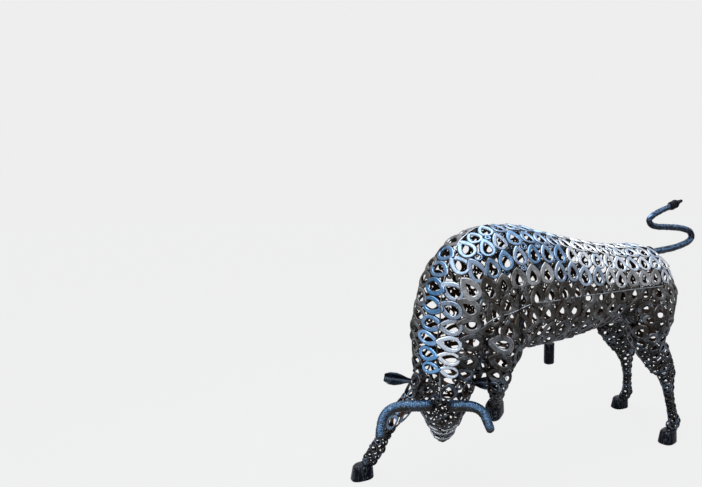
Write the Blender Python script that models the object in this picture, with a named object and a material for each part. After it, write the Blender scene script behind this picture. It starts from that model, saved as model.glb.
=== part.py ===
# A life-size bull welded from teardrop plate rings: head down and turned to its left, right
# foreleg stretched forward, left foreleg lifted. It heads along -X, its left side is -Y and it
# stands on the ground at z = 0.
import math
from collections import namedtuple

import bmesh
import bpy
from mathutils import Matrix, Vector
from mathutils.bvhtree import BVHTree

# Driving sizes in metres
HUMP_HEIGHT = 1.43
PLATE = 0.006
WELD_GAP = 0.0003
SKIN_GRID = 0.018
HORN_ROOT_DIAMETER = 0.068
HORN_TIP_DIAMETER = 0.048
TAIL_ROOT_DIAMETER = 0.050
TAIL_TIP_DIAMETER = 0.040
TUFT_DIAMETER = 0.062
TUFT_LENGTH = 0.140
EAR_LENGTH = 0.150
EAR_WIDTH = 0.072
EAR_SHEET = 0.006
HOOF_LENGTH = 0.128
HOOF_WIDTH = 0.106
HOOF_HEIGHT = 0.078
SHEATH_DIAMETER = 0.066
SHEATH_LENGTH = 0.130
ROOT_DEPTH = 0.030
ROOT_CLEARANCE = 0.014

# The ring pattern: rows round the body and round a leg, a ring's length along its row and the
# metal between two holes as shares of the row's height, how near two rings may come as a share of
# their sizes, and where the rows start and stop as shares of a limb's length
BODY_ROWS = 12
LEG_ROWS = 6
RING_ASPECT = 0.88
RING_BAND = 0.28
RING_SPACING = 0.90
HOLE_FULLNESS = 1.24
HOLE_PINCH = 0.7
BODY_SPAN = (0.02, 0.97)
LEG_SPAN = (0.10, 0.62)
# Half the turn between the two points of a section that give a ring its upward direction
UPWARD_STEP = 0.1
# Room kept round an ear's stem, as a share of the ear's width
STEM_ROOM = 0.25

# How finely the faceted solids are divided
SKIN_FACES = 1800
SHELL_FACES = 7400
LOFT_SIDES = 24
LOFT_STEPS = 4
BAR_STEPS = 2
BAR_SIDES = 8
HOOF_SIDES = 10
HOLE_SIDES = 6
ROW_STEPS = 160
CUT_DEPTH = 1.5
SMALLEST_ROW = 0.062
ROW_TOLERANCE = 0.28
SMOOTHING_PASSES = 3
TIP_TURNS = (35, 65)

# The free form is drawn in modules, and the hump is 143 of them high
MODULE = HUMP_HEIGHT / 143.0
Station = namedtuple("Station", "x y z half_width half_depth yaw", defaults=(0.0,))

TRUNK = [
    Station(85, 0, 105, 6, 7),
    Station(83, 0, 105, 14, 14),
    Station(75, 0, 102, 21.5, 21.5),
    Station(60, 0, 101, 25, 25.7),
    Station(32, 0, 102, 26.2, 26.2),
    Station(5, 0, 102.5, 28.5, 30.5),
    Station(-20, 0, 104, 29.2, 34),
    Station(-42, 0, 106.5, 28.5, 36.2),
    Station(-58, 0, 107, 26, 33),
    Station(-68, 0, 105, 18, 25),
    Station(-74, 0, 103, 8, 12),
]
NECK = [
    Station(-30, 0, 105, 20, 28),
    Station(-49, 0.5, 108, 26.5, 35, 5),
    Station(-62, 1, 101, 26.8, 32.5, 12),
    Station(-68.5, 2.5, 89, 25.2, 28, 24),
    Station(-72, 3.5, 77, 24, 24.5, 36),
    Station(-76.5, 2.5, 66, 20.5, 20.5, 48),
    Station(-80, 0, 57.5, 16.5, 15.5, 58),
]
HEAD = [
    Station(-79, 1, 66, 13, 12, 60),
    Station(-80, 0, 60, 16.5, 15, 60),
    Station(-82, -0.5, 52, 16, 14.5, 62),
    Station(-81, 0, 45, 13.5, 13, 62),
    Station(-79.5, 3.3, 38.5, 11.1, 11.5, 62),
    Station(-77.7, 7.3, 31.5, 8, 9.5, 62),
    Station(-76.5, 11.2, 24.5, 6.7, 8.2, 62),
    Station(-75.5, 12.7, 19.5, 5.2, 5.8, 62),
]
# One line through the body from the tail to the muzzle, which the rows of rings follow
SPINE = TRUNK[1:7] + NECK[2:6] + HEAD[2:]
HIND_LEFT = [
    Station(65, -6, 102, 10, 16),
    Station(64.5, -12, 95, 14.5, 20),
    Station(61, -16.5, 84, 13.5, 18),
    Station(56.5, -19.5, 72, 11.5, 14.8),
    Station(57.5, -21.5, 62, 9, 10.8),
    Station(63, -23.5, 53, 6.8, 10),
    Station(67.5, -25, 45.5, 5.5, 7.8),
    Station(69, -26.8, 37, 3.9, 4.7),
    Station(69.6, -28.4, 28, 3.1, 3.4),
    Station(70.2, -30, 21, 3, 3.2),
    Station(70.6, -31.4, 15.5, 3.1, 3.6),
    Station(70.2, -33, 11, 3.5, 4.3),
]
HIND_RIGHT = [
    Station(66, 6, 102, 10, 16),
    Station(65, 12, 95, 14.5, 20),
    Station(64, 16.5, 84, 13.5, 19.5),
    Station(64, 18.5, 72, 11.5, 17),
    Station(68, 19.5, 62, 9, 13),
    Station(73.5, 20, 53, 6.8, 10),
    Station(77, 20.5, 45.5, 5.5, 7.5),
    Station(79.2, 20.8, 37, 3.9, 4.7),
    Station(80.8, 21.2, 28, 3.1, 3.4),
    Station(81.7, 21.8, 21, 3, 3.2),
    Station(82.5, 22.3, 15.5, 3.1, 3.6),
    Station(82.4, 22.8, 11, 3.5, 4.3),
]
FORE_LEFT = [
    Station(-38, -9, 105, 12, 17),
    Station(-43, -15, 95, 13, 17),
    Station(-52, -19, 84, 11.5, 12.5),
    Station(-55.5, -21.5, 75, 9, 9.2),
    Station(-58.5, -22.5, 67, 6.6, 7),
    Station(-59.5, -22.5, 60, 5.2, 5.6),
    Station(-58.5, -19.5, 53, 4, 4.2),
    Station(-56.4, -16.3, 48, 3.2, 3.4),
    Station(-55, -13.6, 44.5, 3.4, 3.6),
]
FORE_RIGHT = [
    Station(-38, 9, 105, 12, 17),
    Station(-42, 15, 93, 13, 19),
    Station(-51, 18, 80, 11.5, 16),
    Station(-62, 19.5, 69, 9, 11.5),
    Station(-75, 20.5, 58, 6.6, 8),
    Station(-87, 21, 47.5, 5.2, 5.8),
    Station(-94.5, 21.5, 40, 4.5, 5),
    Station(-102, 22.5, 31, 3.4, 3.6),
    Station(-108.2, 23.8, 22.5, 3.4, 3.6),
    Station(-112.6, 24.6, 15, 3.9, 4.4),
]

# Each hoof: the middle of its sole in modules, its turn in degrees, and which way its top faces
Hoof = namedtuple("Hoof", "x y z yaw up")
HOOF_HIND_LEFT = Hoof(62.7, -35.2, 0, 12, (0, 0, 1))
HOOF_HIND_RIGHT = Hoof(77.3, 24, 0, -6, (0, 0, 1))
HOOF_FRONT_RIGHT = Hoof(-120.6, 26.2, 0, -6, (0, 0, 1))
HOOF_FRONT_LEFT = Hoof(-53.7, -8.8, 36.3, 35, (-1.5, -3, 8))
# Sections of a hoof from its sole up: shares of its height, of its outline and of its setback
HOOF_SECTIONS = ((0.0, 1.0, 0.0), (0.88, 0.87, 0.05), (1.0, 0.76, 0.07))
HOOF_SQUARENESS = 0.75
# Last section of a leg, in its hoof, as shares of the hoof's width and length
ANKLE_SHARES = (0.29, 0.23)

# Middle lines of the bars, in modules
HORN_RIGHT = [
    (-90.1, -5.2, 47.8), (-94.1, -7.2, 49.2), (-100, -5.5, 49.7), (-106, -2.3, 49.7),
    (-111.1, -0.4, 48.6), (-114.9, -0.3, 45.9), (-117.6, -2.2, 41.9), (-119.4, -4.8, 37.4),
]
HORN_LEFT = [
    (-82.1, -11.2, 47.8), (-80.3, -16.6, 49.3), (-76.6, -19.7, 49.5), (-73.3, -23.3, 49.1),
    (-71.4, -27.3, 47.4), (-71.1, -30.9, 44.3), (-71.5, -34.9, 41.3),
]
TAIL = [
    (74, 0, 118.2), (81, 0, 120.1), (90, 0, 120.9), (98, 0, 121.7), (107, 0, 123.3), (114.5, 0, 125.6),
    (117.6, 0, 129), (114.5, 0, 133), (105, 0, 135.4), (92, 0, 136.5), (82, 0, 137.1),
    (75.8, 0, 138.8), (73.8, 0, 142), (77.5, 0, 145), (85, 0, 147.9), (92, 0, 150),
]
TUFT_DIRECTION = (15, 0, 5.2)
# Tuft radii as shares of its own half width, from the bar to the tip
TUFT_PROFILE = [0.70, 1.0, 0.95, 1.0, 0.60, 0.42, 0.38]
# Each ear: where it leaves the head in modules, and which way it points
EAR_RIGHT = ((-95.2, 10.2, 57.8), (-13.7, 6, 3))
EAR_LEFT = ((-67, -6.3, 56.5), (8.5, -10.4, 1.1))
EAR_FACING = (-0.5, -0.8, 0.2)
# Half widths of an ear from its stem to its tip, as shares of its full half width, and its cup
EAR_PROFILE = [0.25, 0.30, 0.55, 0.88, 1.0, 0.86, 0.40]
EAR_CUP = 0.35
SHEATH_TOP = (-8.4, 0, 68.8)
# Sections of the sheath from its top down: shares of its length and of its diameter
SHEATH_SECTIONS = ((0.0, 1.0), (0.93, 1.0), (1.0, 0.86))


def smooth_line(points, steps):
    """Points on a Catmull-Rom curve, with the given steps between each two of them."""
    rows = [[float(value) for value in point] for point in points]
    before = [2 * a - b for a, b in zip(rows[0], rows[1])]
    after = [2 * a - b for a, b in zip(rows[-1], rows[-2])]
    rows = [before] + rows + [after]
    line = []
    for index in range(1, len(rows) - 2):
        for step in range(steps):
            t = step / steps
            line.append([
                0.5 * (2 * b + (c - a) * t + (2 * a - 5 * b + 4 * c - d) * t ** 2
                       + (3 * b - a - 3 * c + d) * t ** 3)
                for a, b, c, d in zip(*rows[index - 1:index + 3])
            ])
    line.append(rows[-2])
    return line


class Limb:
    """A tube through stations, each an ellipse square to the tube's middle line."""

    def __init__(self, table, hoof=None):
        rows = [[*(MODULE * value for value in station[:5]), station.yaw] for station in table]
        if hoof is not None:
            rows.append(ankle(hoof))
        rows = smooth_line(rows, LOFT_STEPS)
        self.centres = [Vector(row[:3]) for row in rows]
        self.widths = [row[3] for row in rows]
        self.depths = [row[4] for row in rows]
        self.frames = []
        for index, row in enumerate(rows):
            ahead = self.centres[min(index + 1, len(rows) - 1)]
            behind = self.centres[max(index - 1, 0)]
            along = (ahead - behind).normalized()
            yaw = math.radians(row[5])
            side = Vector((-math.sin(yaw), math.cos(yaw), 0.0))
            side = (side - along * side.dot(along)).normalized()
            self.frames.append((along, side, along.cross(side)))
        self.reach = [0.0]
        for a, b in zip(self.centres, self.centres[1:]):
            self.reach.append(self.reach[-1] + (b - a).length)

    def at(self, reach):
        """Centre, half width, half depth and frame at a distance along the middle line."""
        index = 0
        while index < len(self.reach) - 2 and self.reach[index + 1] < reach:
            index += 1
        span = self.reach[index + 1] - self.reach[index]
        t = min(max((reach - self.reach[index]) / span, 0.0), 1.0)
        frame = [a.lerp(b, t).normalized() for a, b in zip(self.frames[index], self.frames[index + 1])]
        centre = self.centres[index].lerp(self.centres[index + 1], t)
        width = self.widths[index] * (1 - t) + self.widths[index + 1] * t
        depth = self.depths[index] * (1 - t) + self.depths[index + 1] * t
        return centre, width, depth, frame

    def point(self, reach, angle):
        """Point of the tube's surface, its angle counted from the upper or front line."""
        centre, width, depth, (along, side, under) = self.at(reach)
        return centre + side * (width * math.sin(angle)) - under * (depth * math.cos(angle))

    def girth(self, reach):
        centre, width, depth, frame = self.at(reach)
        return math.pi * (width + depth)

    def add_to(self, bm):
        """Closed loft of the tube, in a mesh under construction."""
        loops = []
        for reach in self.reach:
            angles = [2 * math.pi * k / LOFT_SIDES for k in range(LOFT_SIDES)]
            loops.append([bm.verts.new(self.point(reach, angle)) for angle in angles])
        bridge_loops(bm, loops)


class Bar:
    """A round bar along a smooth line, tapering from its root to its tip."""

    def __init__(self, points, root_diameter, tip_diameter):
        line = [Vector(row) * MODULE for row in smooth_line(points, BAR_STEPS)]
        last = len(line) - 1
        self.rings = []
        for index, centre in enumerate(line):
            along = line[min(index + 1, last)] - line[max(index - 1, 0)]
            share = index / last
            radius = 0.5 * (root_diameter * (1 - share) + tip_diameter * share)
            self.rings.append((centre, radius, along.normalized()))

    def round_tip(self):
        centre, radius, along = self.rings[-1]
        for turn in TIP_TURNS:
            rise, share = math.sin(math.radians(turn)), math.cos(math.radians(turn))
            self.rings.append((centre + along * (radius * rise), radius * share, along))


def bridge_loops(bm, loops):
    """Side faces between loops of equal length, with both ends capped."""
    for loop, following in zip(loops, loops[1:]):
        count = len(loop)
        for k in range(count):
            bm.faces.new((loop[k], loop[(k + 1) % count], following[(k + 1) % count], following[k]))
    bm.faces.new(loops[0])
    bm.faces.new(loops[-1])


def material(name, colour, roughness, metallic):
    mat = bpy.data.materials.new(name)
    mat.use_nodes = True
    shader = mat.node_tree.nodes["Principled BSDF"]
    shader.inputs["Base Color"].default_value = (*colour, 1.0)
    shader.inputs["Roughness"].default_value = roughness
    shader.inputs["Metallic"].default_value = metallic
    return mat


def object_from(name, bm, mat=None):
    """Scene object from a mesh under construction, in triangles with their faces pointing out."""
    bmesh.ops.recalc_face_normals(bm, faces=bm.faces)
    bmesh.ops.triangulate(bm, faces=bm.faces)
    mesh = bpy.data.meshes.new(name)
    bm.to_mesh(mesh)
    bm.free()
    obj = bpy.data.objects.new(name, mesh)
    bpy.context.scene.collection.objects.link(obj)
    if mat is not None:
        mesh.materials.append(mat)
    return obj


def hide_as_cutter(obj):
    obj.hide_render = True
    obj.display_type = "WIRE"


def evaluated_mesh(obj):
    graph = bpy.context.evaluated_depsgraph_get()
    return bpy.data.meshes.new_from_object(obj.evaluated_get(graph), depsgraph=graph)


def thin_out(obj, faces):
    """Collapse modifier that leaves about this many triangles."""
    mesh = evaluated_mesh(obj)
    mesh.calc_loop_triangles()
    collapse = obj.modifiers.new("thin_out", "DECIMATE")
    collapse.ratio = min(faces / len(mesh.loop_triangles), 1.0)
    collapse.use_collapse_triangulate = True


def subtract(obj, cutter):
    boolean = obj.modifiers.new(cutter.name, "BOOLEAN")
    boolean.operation = "DIFFERENCE"
    boolean.solver = "EXACT"
    boolean.object = cutter


def round_bar(name, rings, mat):
    """Closed body through round sections, kept from twisting by carrying one side along."""
    bm = bmesh.new()
    side = rings[0][2].orthogonal().normalized()
    loops = []
    for centre, radius, along in rings:
        side = (side - along * side.dot(along)).normalized()
        up = along.cross(side)
        turns = [2 * math.pi * k / BAR_SIDES for k in range(BAR_SIDES)]
        loops.append([
            bm.verts.new(centre + (side * math.cos(turn) + up * math.sin(turn)) * radius) for turn in turns
        ])
    bridge_loops(bm, loops)
    obj = object_from(name, bm, mat)
    obj.data.shade_smooth()
    obj.data.set_sharp_from_angle(angle=math.radians(50))
    return obj


def hoof_matrix(hoof):
    """Frame of a hoof: -X to the toe, +Z to its top, origin in the middle of the sole."""
    up = Vector(hoof.up).normalized()
    yaw = math.radians(hoof.yaw)
    heel = Vector((math.cos(yaw), math.sin(yaw), 0.0))
    heel = (heel - up * heel.dot(up)).normalized()
    matrix = Matrix((heel, up.cross(heel), up)).transposed().to_4x4()
    matrix.translation = Vector((hoof.x, hoof.y, hoof.z)) * MODULE
    return matrix


def hoof_section(height, scale, setback):
    """Outline of the hoof at one height, a rounded square."""
    outline = []
    for k in range(HOOF_SIDES):
        angle = 2 * math.pi * (k + 0.5) / HOOF_SIDES
        forward = math.copysign(abs(math.cos(angle)) ** HOOF_SQUARENESS, math.cos(angle))
        across = math.copysign(abs(math.sin(angle)) ** HOOF_SQUARENESS, math.sin(angle))
        outline.append(Vector((
            setback - 0.5 * HOOF_LENGTH * scale * forward, 0.5 * HOOF_WIDTH * scale * across, height)))
    return outline


def add_hoof(name, hoof, mat):
    matrix = hoof_matrix(hoof)
    sections = [
        hoof_section(HOOF_HEIGHT * height, scale, HOOF_LENGTH * setback)
        for height, scale, setback in HOOF_SECTIONS
    ]
    bm = bmesh.new()
    bridge_loops(bm, [[bm.verts.new(matrix @ point) for point in section] for section in sections])
    return object_from(name, bm, mat)


def ankle(hoof):
    """Last section of a leg, sunk into the top of its hoof."""
    setback = HOOF_SECTIONS[-1][2] * HOOF_LENGTH
    centre = hoof_matrix(hoof) @ Vector((setback, 0.0, HOOF_HEIGHT - ROOT_DEPTH))
    return [*centre, ANKLE_SHARES[0] * HOOF_WIDTH, ANKLE_SHARES[1] * HOOF_LENGTH, hoof.yaw]


def add_ear(name, ear, mat):
    """Leaf of sheet, cupped across, with its stem sunk into the head."""
    start = Vector(ear[0]) * MODULE
    along = Vector(ear[1]).normalized()
    across = along.cross(Vector(EAR_FACING)).normalized()
    facing = across.cross(along)
    bm = bmesh.new()
    rows = []
    for step, share_of_width in enumerate(EAR_PROFILE):
        t = step / (len(EAR_PROFILE) - 1)
        half = 0.5 * EAR_WIDTH * share_of_width
        middle = start + along * (t * (EAR_LENGTH + ROOT_DEPTH) - ROOT_DEPTH)
        rows.append([
            bm.verts.new(middle + across * (half * share) + facing * (EAR_CUP * half * share ** 2))
            for share in (-1.0, -0.5, 0.0, 0.5, 1.0)
        ])
    for row, following in zip(rows, rows[1:]):
        for j in range(len(row) - 1):
            bm.faces.new((row[j], row[j + 1], following[j + 1], following[j]))
    obj = object_from(name, bm, mat)
    sheet = obj.modifiers.new("sheet", "SOLIDIFY")
    sheet.thickness = EAR_SHEET
    sheet.offset = 0.0
    return obj


def socket(piece):
    """Copy of a piece, grown by the weld gap, that clears its place in the shell."""
    bm = bmesh.new()
    bm.from_mesh(evaluated_mesh(piece))
    bm.normal_update()
    moves = [vert.normal * (vert.calc_shell_factor() * WELD_GAP) for vert in bm.verts]
    for vert, move in zip(bm.verts, moves):
        vert.co += move
    cutter = object_from(piece.name + "_socket", bm)
    hide_as_cutter(cutter)
    return cutter


def build_skin(limbs):
    """The limbs melted into one closed surface, with their joints smoothed over."""
    bm = bmesh.new()
    for limb in limbs:
        limb.add_to(bm)
    body = object_from("body_form", bm)
    remesh = body.modifiers.new("melt", "REMESH")
    remesh.mode = "VOXEL"
    remesh.voxel_size = SKIN_GRID
    smooth = body.modifiers.new("smooth", "SMOOTH")
    smooth.iterations = SMOOTHING_PASSES
    thin_out(body, SKIN_FACES)
    hide_as_cutter(body)
    return evaluated_mesh(body)


def teardrop(width, height):
    """Outline of a ring's hole, with its point at the top."""
    outline = []
    for k in range(HOLE_SIDES):
        turn = 2 * math.pi * k / HOLE_SIDES
        pinch = HOLE_FULLNESS * abs(math.sin(0.5 * turn)) ** HOLE_PINCH
        outline.append((0.5 * width * math.sin(turn) * pinch, 0.5 * height * math.cos(turn)))
    return outline


def add_hole(bm, place, normal, point_to, width, height):
    """Prism through the shell's wall, its point toward the middle line of the back."""
    up = (point_to - normal * point_to.dot(normal)).normalized()
    side = up.cross(normal)
    loops = []
    for depth in (-CUT_DEPTH * PLATE, CUT_DEPTH * PLATE):
        loops.append([
            bm.verts.new(place + side * x + up * y + normal * depth) for x, y in teardrop(width, height)
        ])
    bridge_loops(bm, loops)


def mean_radius(width, height):
    return 0.25 * (width + height)


class RingPattern:
    """Rows of teardrop holes over the skin, kept clear of each other and of the roots."""

    def __init__(self, skin, roots):
        self.tree = BVHTree.FromPolygons(
            [vert.co for vert in skin.vertices], [tuple(face.vertices) for face in skin.polygons])
        self.roots = roots
        self.taken = []
        self.bm = bmesh.new()

    def is_free(self, place, radius):
        for root, reach in self.roots:
            if (place - root).length < radius + reach:
                return False
        for other, other_radius in self.taken:
            if (place - other).length < RING_SPACING * (radius + other_radius):
                return False
        return True

    def surface(self, limb, reach, angle):
        """Place and normal on the skin beside a limb, or None where another limb bulges out."""
        centre = limb.at(reach)[0]
        outward = limb.point(reach, angle) - centre
        place, normal, face, distance = self.tree.ray_cast(centre, outward.normalized())
        if place is None or abs(distance - outward.length) > ROW_TOLERANCE * outward.length:
            return None
        return place, normal

    def cover(self, limb, span, rows):
        """Rows of holes along a limb, in a brick pattern."""
        start, stop = span
        length = limb.reach[-1]
        for row in range(rows):
            angle = 2 * math.pi * (row + 0.5) / rows
            walked = 0.5 * (min(row, rows - 1 - row) % 2)
            before = None
            for step in range(ROW_STEPS + 1):
                reach = length * (start + (stop - start) * step / ROW_STEPS)
                row_height = limb.girth(reach) / rows
                pitch = RING_ASPECT * row_height
                spot = self.surface(limb, reach, angle)
                if spot is None or row_height < SMALLEST_ROW:
                    before = None
                    continue
                if before is not None:
                    walked += (spot[0] - before).length / pitch
                before = spot[0]
                if walked >= 1.0 and self.is_free(spot[0], mean_radius(pitch, row_height)):
                    walked = 0.0
                    self.open_ring(limb, reach, angle, spot, pitch, row_height)

    def open_ring(self, limb, reach, angle, spot, pitch, row_height):
        place, normal = spot
        self.taken.append((place, mean_radius(pitch, row_height)))
        toward_back = limb.point(reach, angle - UPWARD_STEP) - limb.point(reach, angle + UPWARD_STEP)
        if math.sin(angle) < 0:
            toward_back = -toward_back
        band = RING_BAND * row_height
        add_hole(self.bm, place, normal, toward_back, pitch - band, row_height - band)


for stale in list(bpy.data.objects):
    bpy.data.objects.remove(stale)

STEEL = material("ring_steel", (0.36, 0.38, 0.42), 0.30, 1.0)
BAR_STEEL = material("bar_steel", (0.20, 0.27, 0.36), 0.38, 1.0)
DARK_STEEL = material("dark_steel", (0.03, 0.035, 0.05), 0.40, 1.0)

# Loose pieces first, because the shell is cut to clear them
right_horn_bar = Bar(HORN_RIGHT, HORN_ROOT_DIAMETER, HORN_TIP_DIAMETER)
left_horn_bar = Bar(HORN_LEFT, HORN_ROOT_DIAMETER, HORN_TIP_DIAMETER)
right_horn_bar.round_tip()
left_horn_bar.round_tip()
tail_line = Bar(TAIL, TAIL_ROOT_DIAMETER, TAIL_TIP_DIAMETER)
tuft_start = tail_line.rings[-1][0]
tuft_along = Vector(TUFT_DIRECTION).normalized()
tail_line.rings[-1] = (tuft_start, 0.5 * TAIL_TIP_DIAMETER, tuft_along)
tuft_rings = [
    (tuft_start + tuft_along * (WELD_GAP + TUFT_LENGTH * step / (len(TUFT_PROFILE) - 1)),
     0.5 * TUFT_DIAMETER * share, tuft_along)
    for step, share in enumerate(TUFT_PROFILE)
]
sheath_top = Vector(SHEATH_TOP) * MODULE
sheath_rings = [
    (sheath_top - Vector((0, 0, SHEATH_LENGTH * share)), 0.5 * SHEATH_DIAMETER * scale, Vector((0, 0, -1)))
    for share, scale in SHEATH_SECTIONS
]

horn_right = round_bar("horn_right", right_horn_bar.rings, BAR_STEEL)
horn_left = round_bar("horn_left", left_horn_bar.rings, BAR_STEEL)
tail_bar = round_bar("tail_bar", tail_line.rings, BAR_STEEL)
tail_tuft = round_bar("tail_tuft", tuft_rings, DARK_STEEL)
sheath = round_bar("sheath", sheath_rings, DARK_STEEL)
ear_right = add_ear("ear_right", EAR_RIGHT, DARK_STEEL)
ear_left = add_ear("ear_left", EAR_LEFT, DARK_STEEL)
hooves = [
    add_hoof("hoof_hind_left", HOOF_HIND_LEFT, DARK_STEEL),
    add_hoof("hoof_hind_right", HOOF_HIND_RIGHT, DARK_STEEL),
    add_hoof("hoof_front_right", HOOF_FRONT_RIGHT, DARK_STEEL),
    add_hoof("hoof_front_left", HOOF_FRONT_LEFT, DARK_STEEL),
]

# The shell: one skin over all limbs, given a wall, then opened
trunk = Limb(TRUNK)
neck = Limb(NECK)
head = Limb(HEAD)
hind_left = Limb(HIND_LEFT, HOOF_HIND_LEFT)
hind_right = Limb(HIND_RIGHT, HOOF_HIND_RIGHT)
fore_left = Limb(FORE_LEFT, HOOF_FRONT_LEFT)
fore_right = Limb(FORE_RIGHT, HOOF_FRONT_RIGHT)
skin = build_skin([trunk, neck, head, hind_left, hind_right, fore_left, fore_right])

roots = [
    (Vector(TAIL[1]) * MODULE, 0.5 * TAIL_ROOT_DIAMETER + ROOT_CLEARANCE),
    (sheath_top, 0.5 * SHEATH_DIAMETER + ROOT_CLEARANCE),
]
roots += [(Vector(point) * MODULE, 0.5 * HORN_ROOT_DIAMETER) for point in HORN_RIGHT[:3] + HORN_LEFT[:3]]
roots += [(Vector(ear[0]) * MODULE, STEM_ROOM * EAR_WIDTH) for ear in (EAR_RIGHT, EAR_LEFT)]
pattern = RingPattern(skin, roots)
pattern.cover(Limb(SPINE), BODY_SPAN, BODY_ROWS)
for leg in (hind_left, hind_right, fore_left, fore_right):
    pattern.cover(leg, LEG_SPAN, LEG_ROWS)
holes = object_from("ring_holes", pattern.bm)
hide_as_cutter(holes)

ring_shell = bpy.data.objects.new("ring_shell", skin)
bpy.context.scene.collection.objects.link(ring_shell)
skin.materials.append(STEEL)
wall = ring_shell.modifiers.new("wall", "SOLIDIFY")
wall.thickness = PLATE
wall.offset = -1.0
wall.use_even_offset = True
subtract(ring_shell, holes)
thin_out(ring_shell, SHELL_FACES)
for piece in (horn_right, horn_left, tail_bar, sheath, ear_right, ear_left, *hooves):
    subtract(ring_shell, socket(piece))

# The origin is on the ground, under the middle of the whole box
stand = bpy.data.objects.new("stand", None)
bpy.context.scene.collection.objects.link(stand)
pieces = [ring_shell, horn_right, horn_left, tail_bar, tail_tuft, sheath, ear_right, ear_left, *hooves]
corners = [vert.co for piece in pieces for vert in evaluated_mesh(piece).vertices]
middle = [0.5 * (min(co[k] for co in corners) + max(co[k] for co in corners)) for k in (0, 1)]
stand.location = (-middle[0], -middle[1], 0.0)
for piece in bpy.context.scene.objects:
    if piece is not stand:
        piece.parent = stand
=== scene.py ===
import math
import random
from collections import namedtuple
from itertools import product

import bmesh
import bpy
import numpy as np
from mathutils import Matrix, Vector
from mathutils.bvhtree import BVHTree
from mathutils.kdtree import KDTree


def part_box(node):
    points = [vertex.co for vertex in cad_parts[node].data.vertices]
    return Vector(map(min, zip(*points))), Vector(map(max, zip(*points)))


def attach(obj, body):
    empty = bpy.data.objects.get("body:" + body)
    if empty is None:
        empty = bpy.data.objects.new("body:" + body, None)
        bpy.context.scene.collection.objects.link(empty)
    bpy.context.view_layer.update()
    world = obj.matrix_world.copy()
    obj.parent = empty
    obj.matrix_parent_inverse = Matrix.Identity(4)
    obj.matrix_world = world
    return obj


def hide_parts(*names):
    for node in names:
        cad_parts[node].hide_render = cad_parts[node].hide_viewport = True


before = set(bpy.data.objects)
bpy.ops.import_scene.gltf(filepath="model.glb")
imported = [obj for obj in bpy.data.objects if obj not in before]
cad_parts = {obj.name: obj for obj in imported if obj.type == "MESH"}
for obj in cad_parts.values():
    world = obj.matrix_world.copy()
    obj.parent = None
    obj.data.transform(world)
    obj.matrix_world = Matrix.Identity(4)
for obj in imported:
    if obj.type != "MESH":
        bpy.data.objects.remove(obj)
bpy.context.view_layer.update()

# Sizes in metres, the same as the solids have
HUMP_HEIGHT = 1.43
HORN_ROOT_DIAMETER = 0.068
HORN_TIP_DIAMETER = 0.048
TAIL_ROOT_DIAMETER = 0.050
TAIL_TIP_DIAMETER = 0.040
TUFT_DIAMETER = 0.062
TUFT_LENGTH = 0.140
EAR_LENGTH = 0.150
EAR_WIDTH = 0.072
HOOF_LENGTH = 0.128
HOOF_WIDTH = 0.106
HOOF_HEIGHT = 0.078
SHEATH_DIAMETER = 0.066
SHEATH_LENGTH = 0.130
ROOT_DEPTH = 0.030

# Plate of the rings and how deep it lies in the skin; a small ring is thinner, by a share of its height
PLATE = 0.007
PLATE_INSET = 0.004
PLATE_SHARE = 0.16
SMALL_INSET_SHARE = 0.6
# Ring blanks: sides, and the hole's width and height as shares of the ring's
BLANKS = {
    "rings_": (18, 0.52, 0.63), "tight_rings_": (16, 0.44, 0.55), "face_rings_": (20, 0.62, 0.68),
    "wide_rings_": (16, 0.56, 0.68), "small_rings_": (9, 0.32, 0.38)}
# Section of a blank: way from outline to hole, height in plates, and how far it faces out
RING_SECTION = (
    (1.06, -0.5, 0.0), (-0.10, -0.5, 0.0), (0.02, -0.1, 0.15), (0.05, 0.2, 1.0), (0.25, 0.5, 0.8),
    (0.8, 0.5, 0.8), (1.0, 0.1, 1.0))
OUTLINE_PINCH = 0.55
HOLE_PINCH = 1.0
HOLE_DROP = 0.05
# How much wider and higher a ring is than the place it was given, so that it meets those round it
OPEN_OVERLAP = (0.98, 1.15)
CLOSED_OVERLAP = (1.06, 1.16)
SMALL_OPEN_OVERLAP = (1.1, 1.1)
FACE_OVERLAP = (1.0, 1.0)
# Rings round the body: from which share of its length to which, how many rows, length to width
BODY_BANDS = (
    (0.0, 0.05, 13, 1.0), (0.05, 0.25, 17, 1.08), (0.25, 0.38, 18, 1.0), (0.38, 0.60, 19, 0.88),
    (0.60, 0.67, 15, 0.80), (0.67, 0.735, 13, 0.78), (0.735, 0.815, 12, 0.74), (0.815, 0.90, 9, 0.80),
    (0.90, 0.975, 7, 0.80))
LEG_BANDS = ((0.06, 0.33, 11, 0.90), (0.33, 0.48, 9, 0.90), (0.48, 0.60, 8, 0.90), (0.60, 0.97, 5, 0.90))
FORE_RIGHT_BANDS = (
    (0.06, 0.33, 11, 0.90), (0.33, 0.48, 9, 0.90), (0.48, 0.53, 7, 0.90), (0.53, 0.78, 4, 1.90),
    (0.78, 0.97, 5, 0.90))
# Open rings round the brow, the eyes and the muzzle: middle, width and height
FACE_RINGS = (
    ((-84.7, -14.8, 57.3), 9.9, 8.8), ((-74.6, -14.9, 55.9), 5.4, 8.4), ((-93.9, -8.3, 58.2), 9.4, 8.6),
    ((-89.9, -12.5, 52.7), 4.2, 4.2), ((-91.1, -6.9, 40.9), 6.8, 4.8), ((-83.7, -12.4, 42.0), 6.4, 4.8),
    ((-83.1, 4.2, 24.5), 6.0, 4.6), ((-77.0, -2.0, 28.8), 5.6, 4.6))
# How far the ring at the muzzle's end stands off the last section
MUZZLE_RISE = 0.002
# Bands across the muzzle, as shares of the body's length, and how far they reach round it in degrees
FACE_BANDS = ((0.915, 105), (0.940, 100), (0.968, 95))
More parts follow.
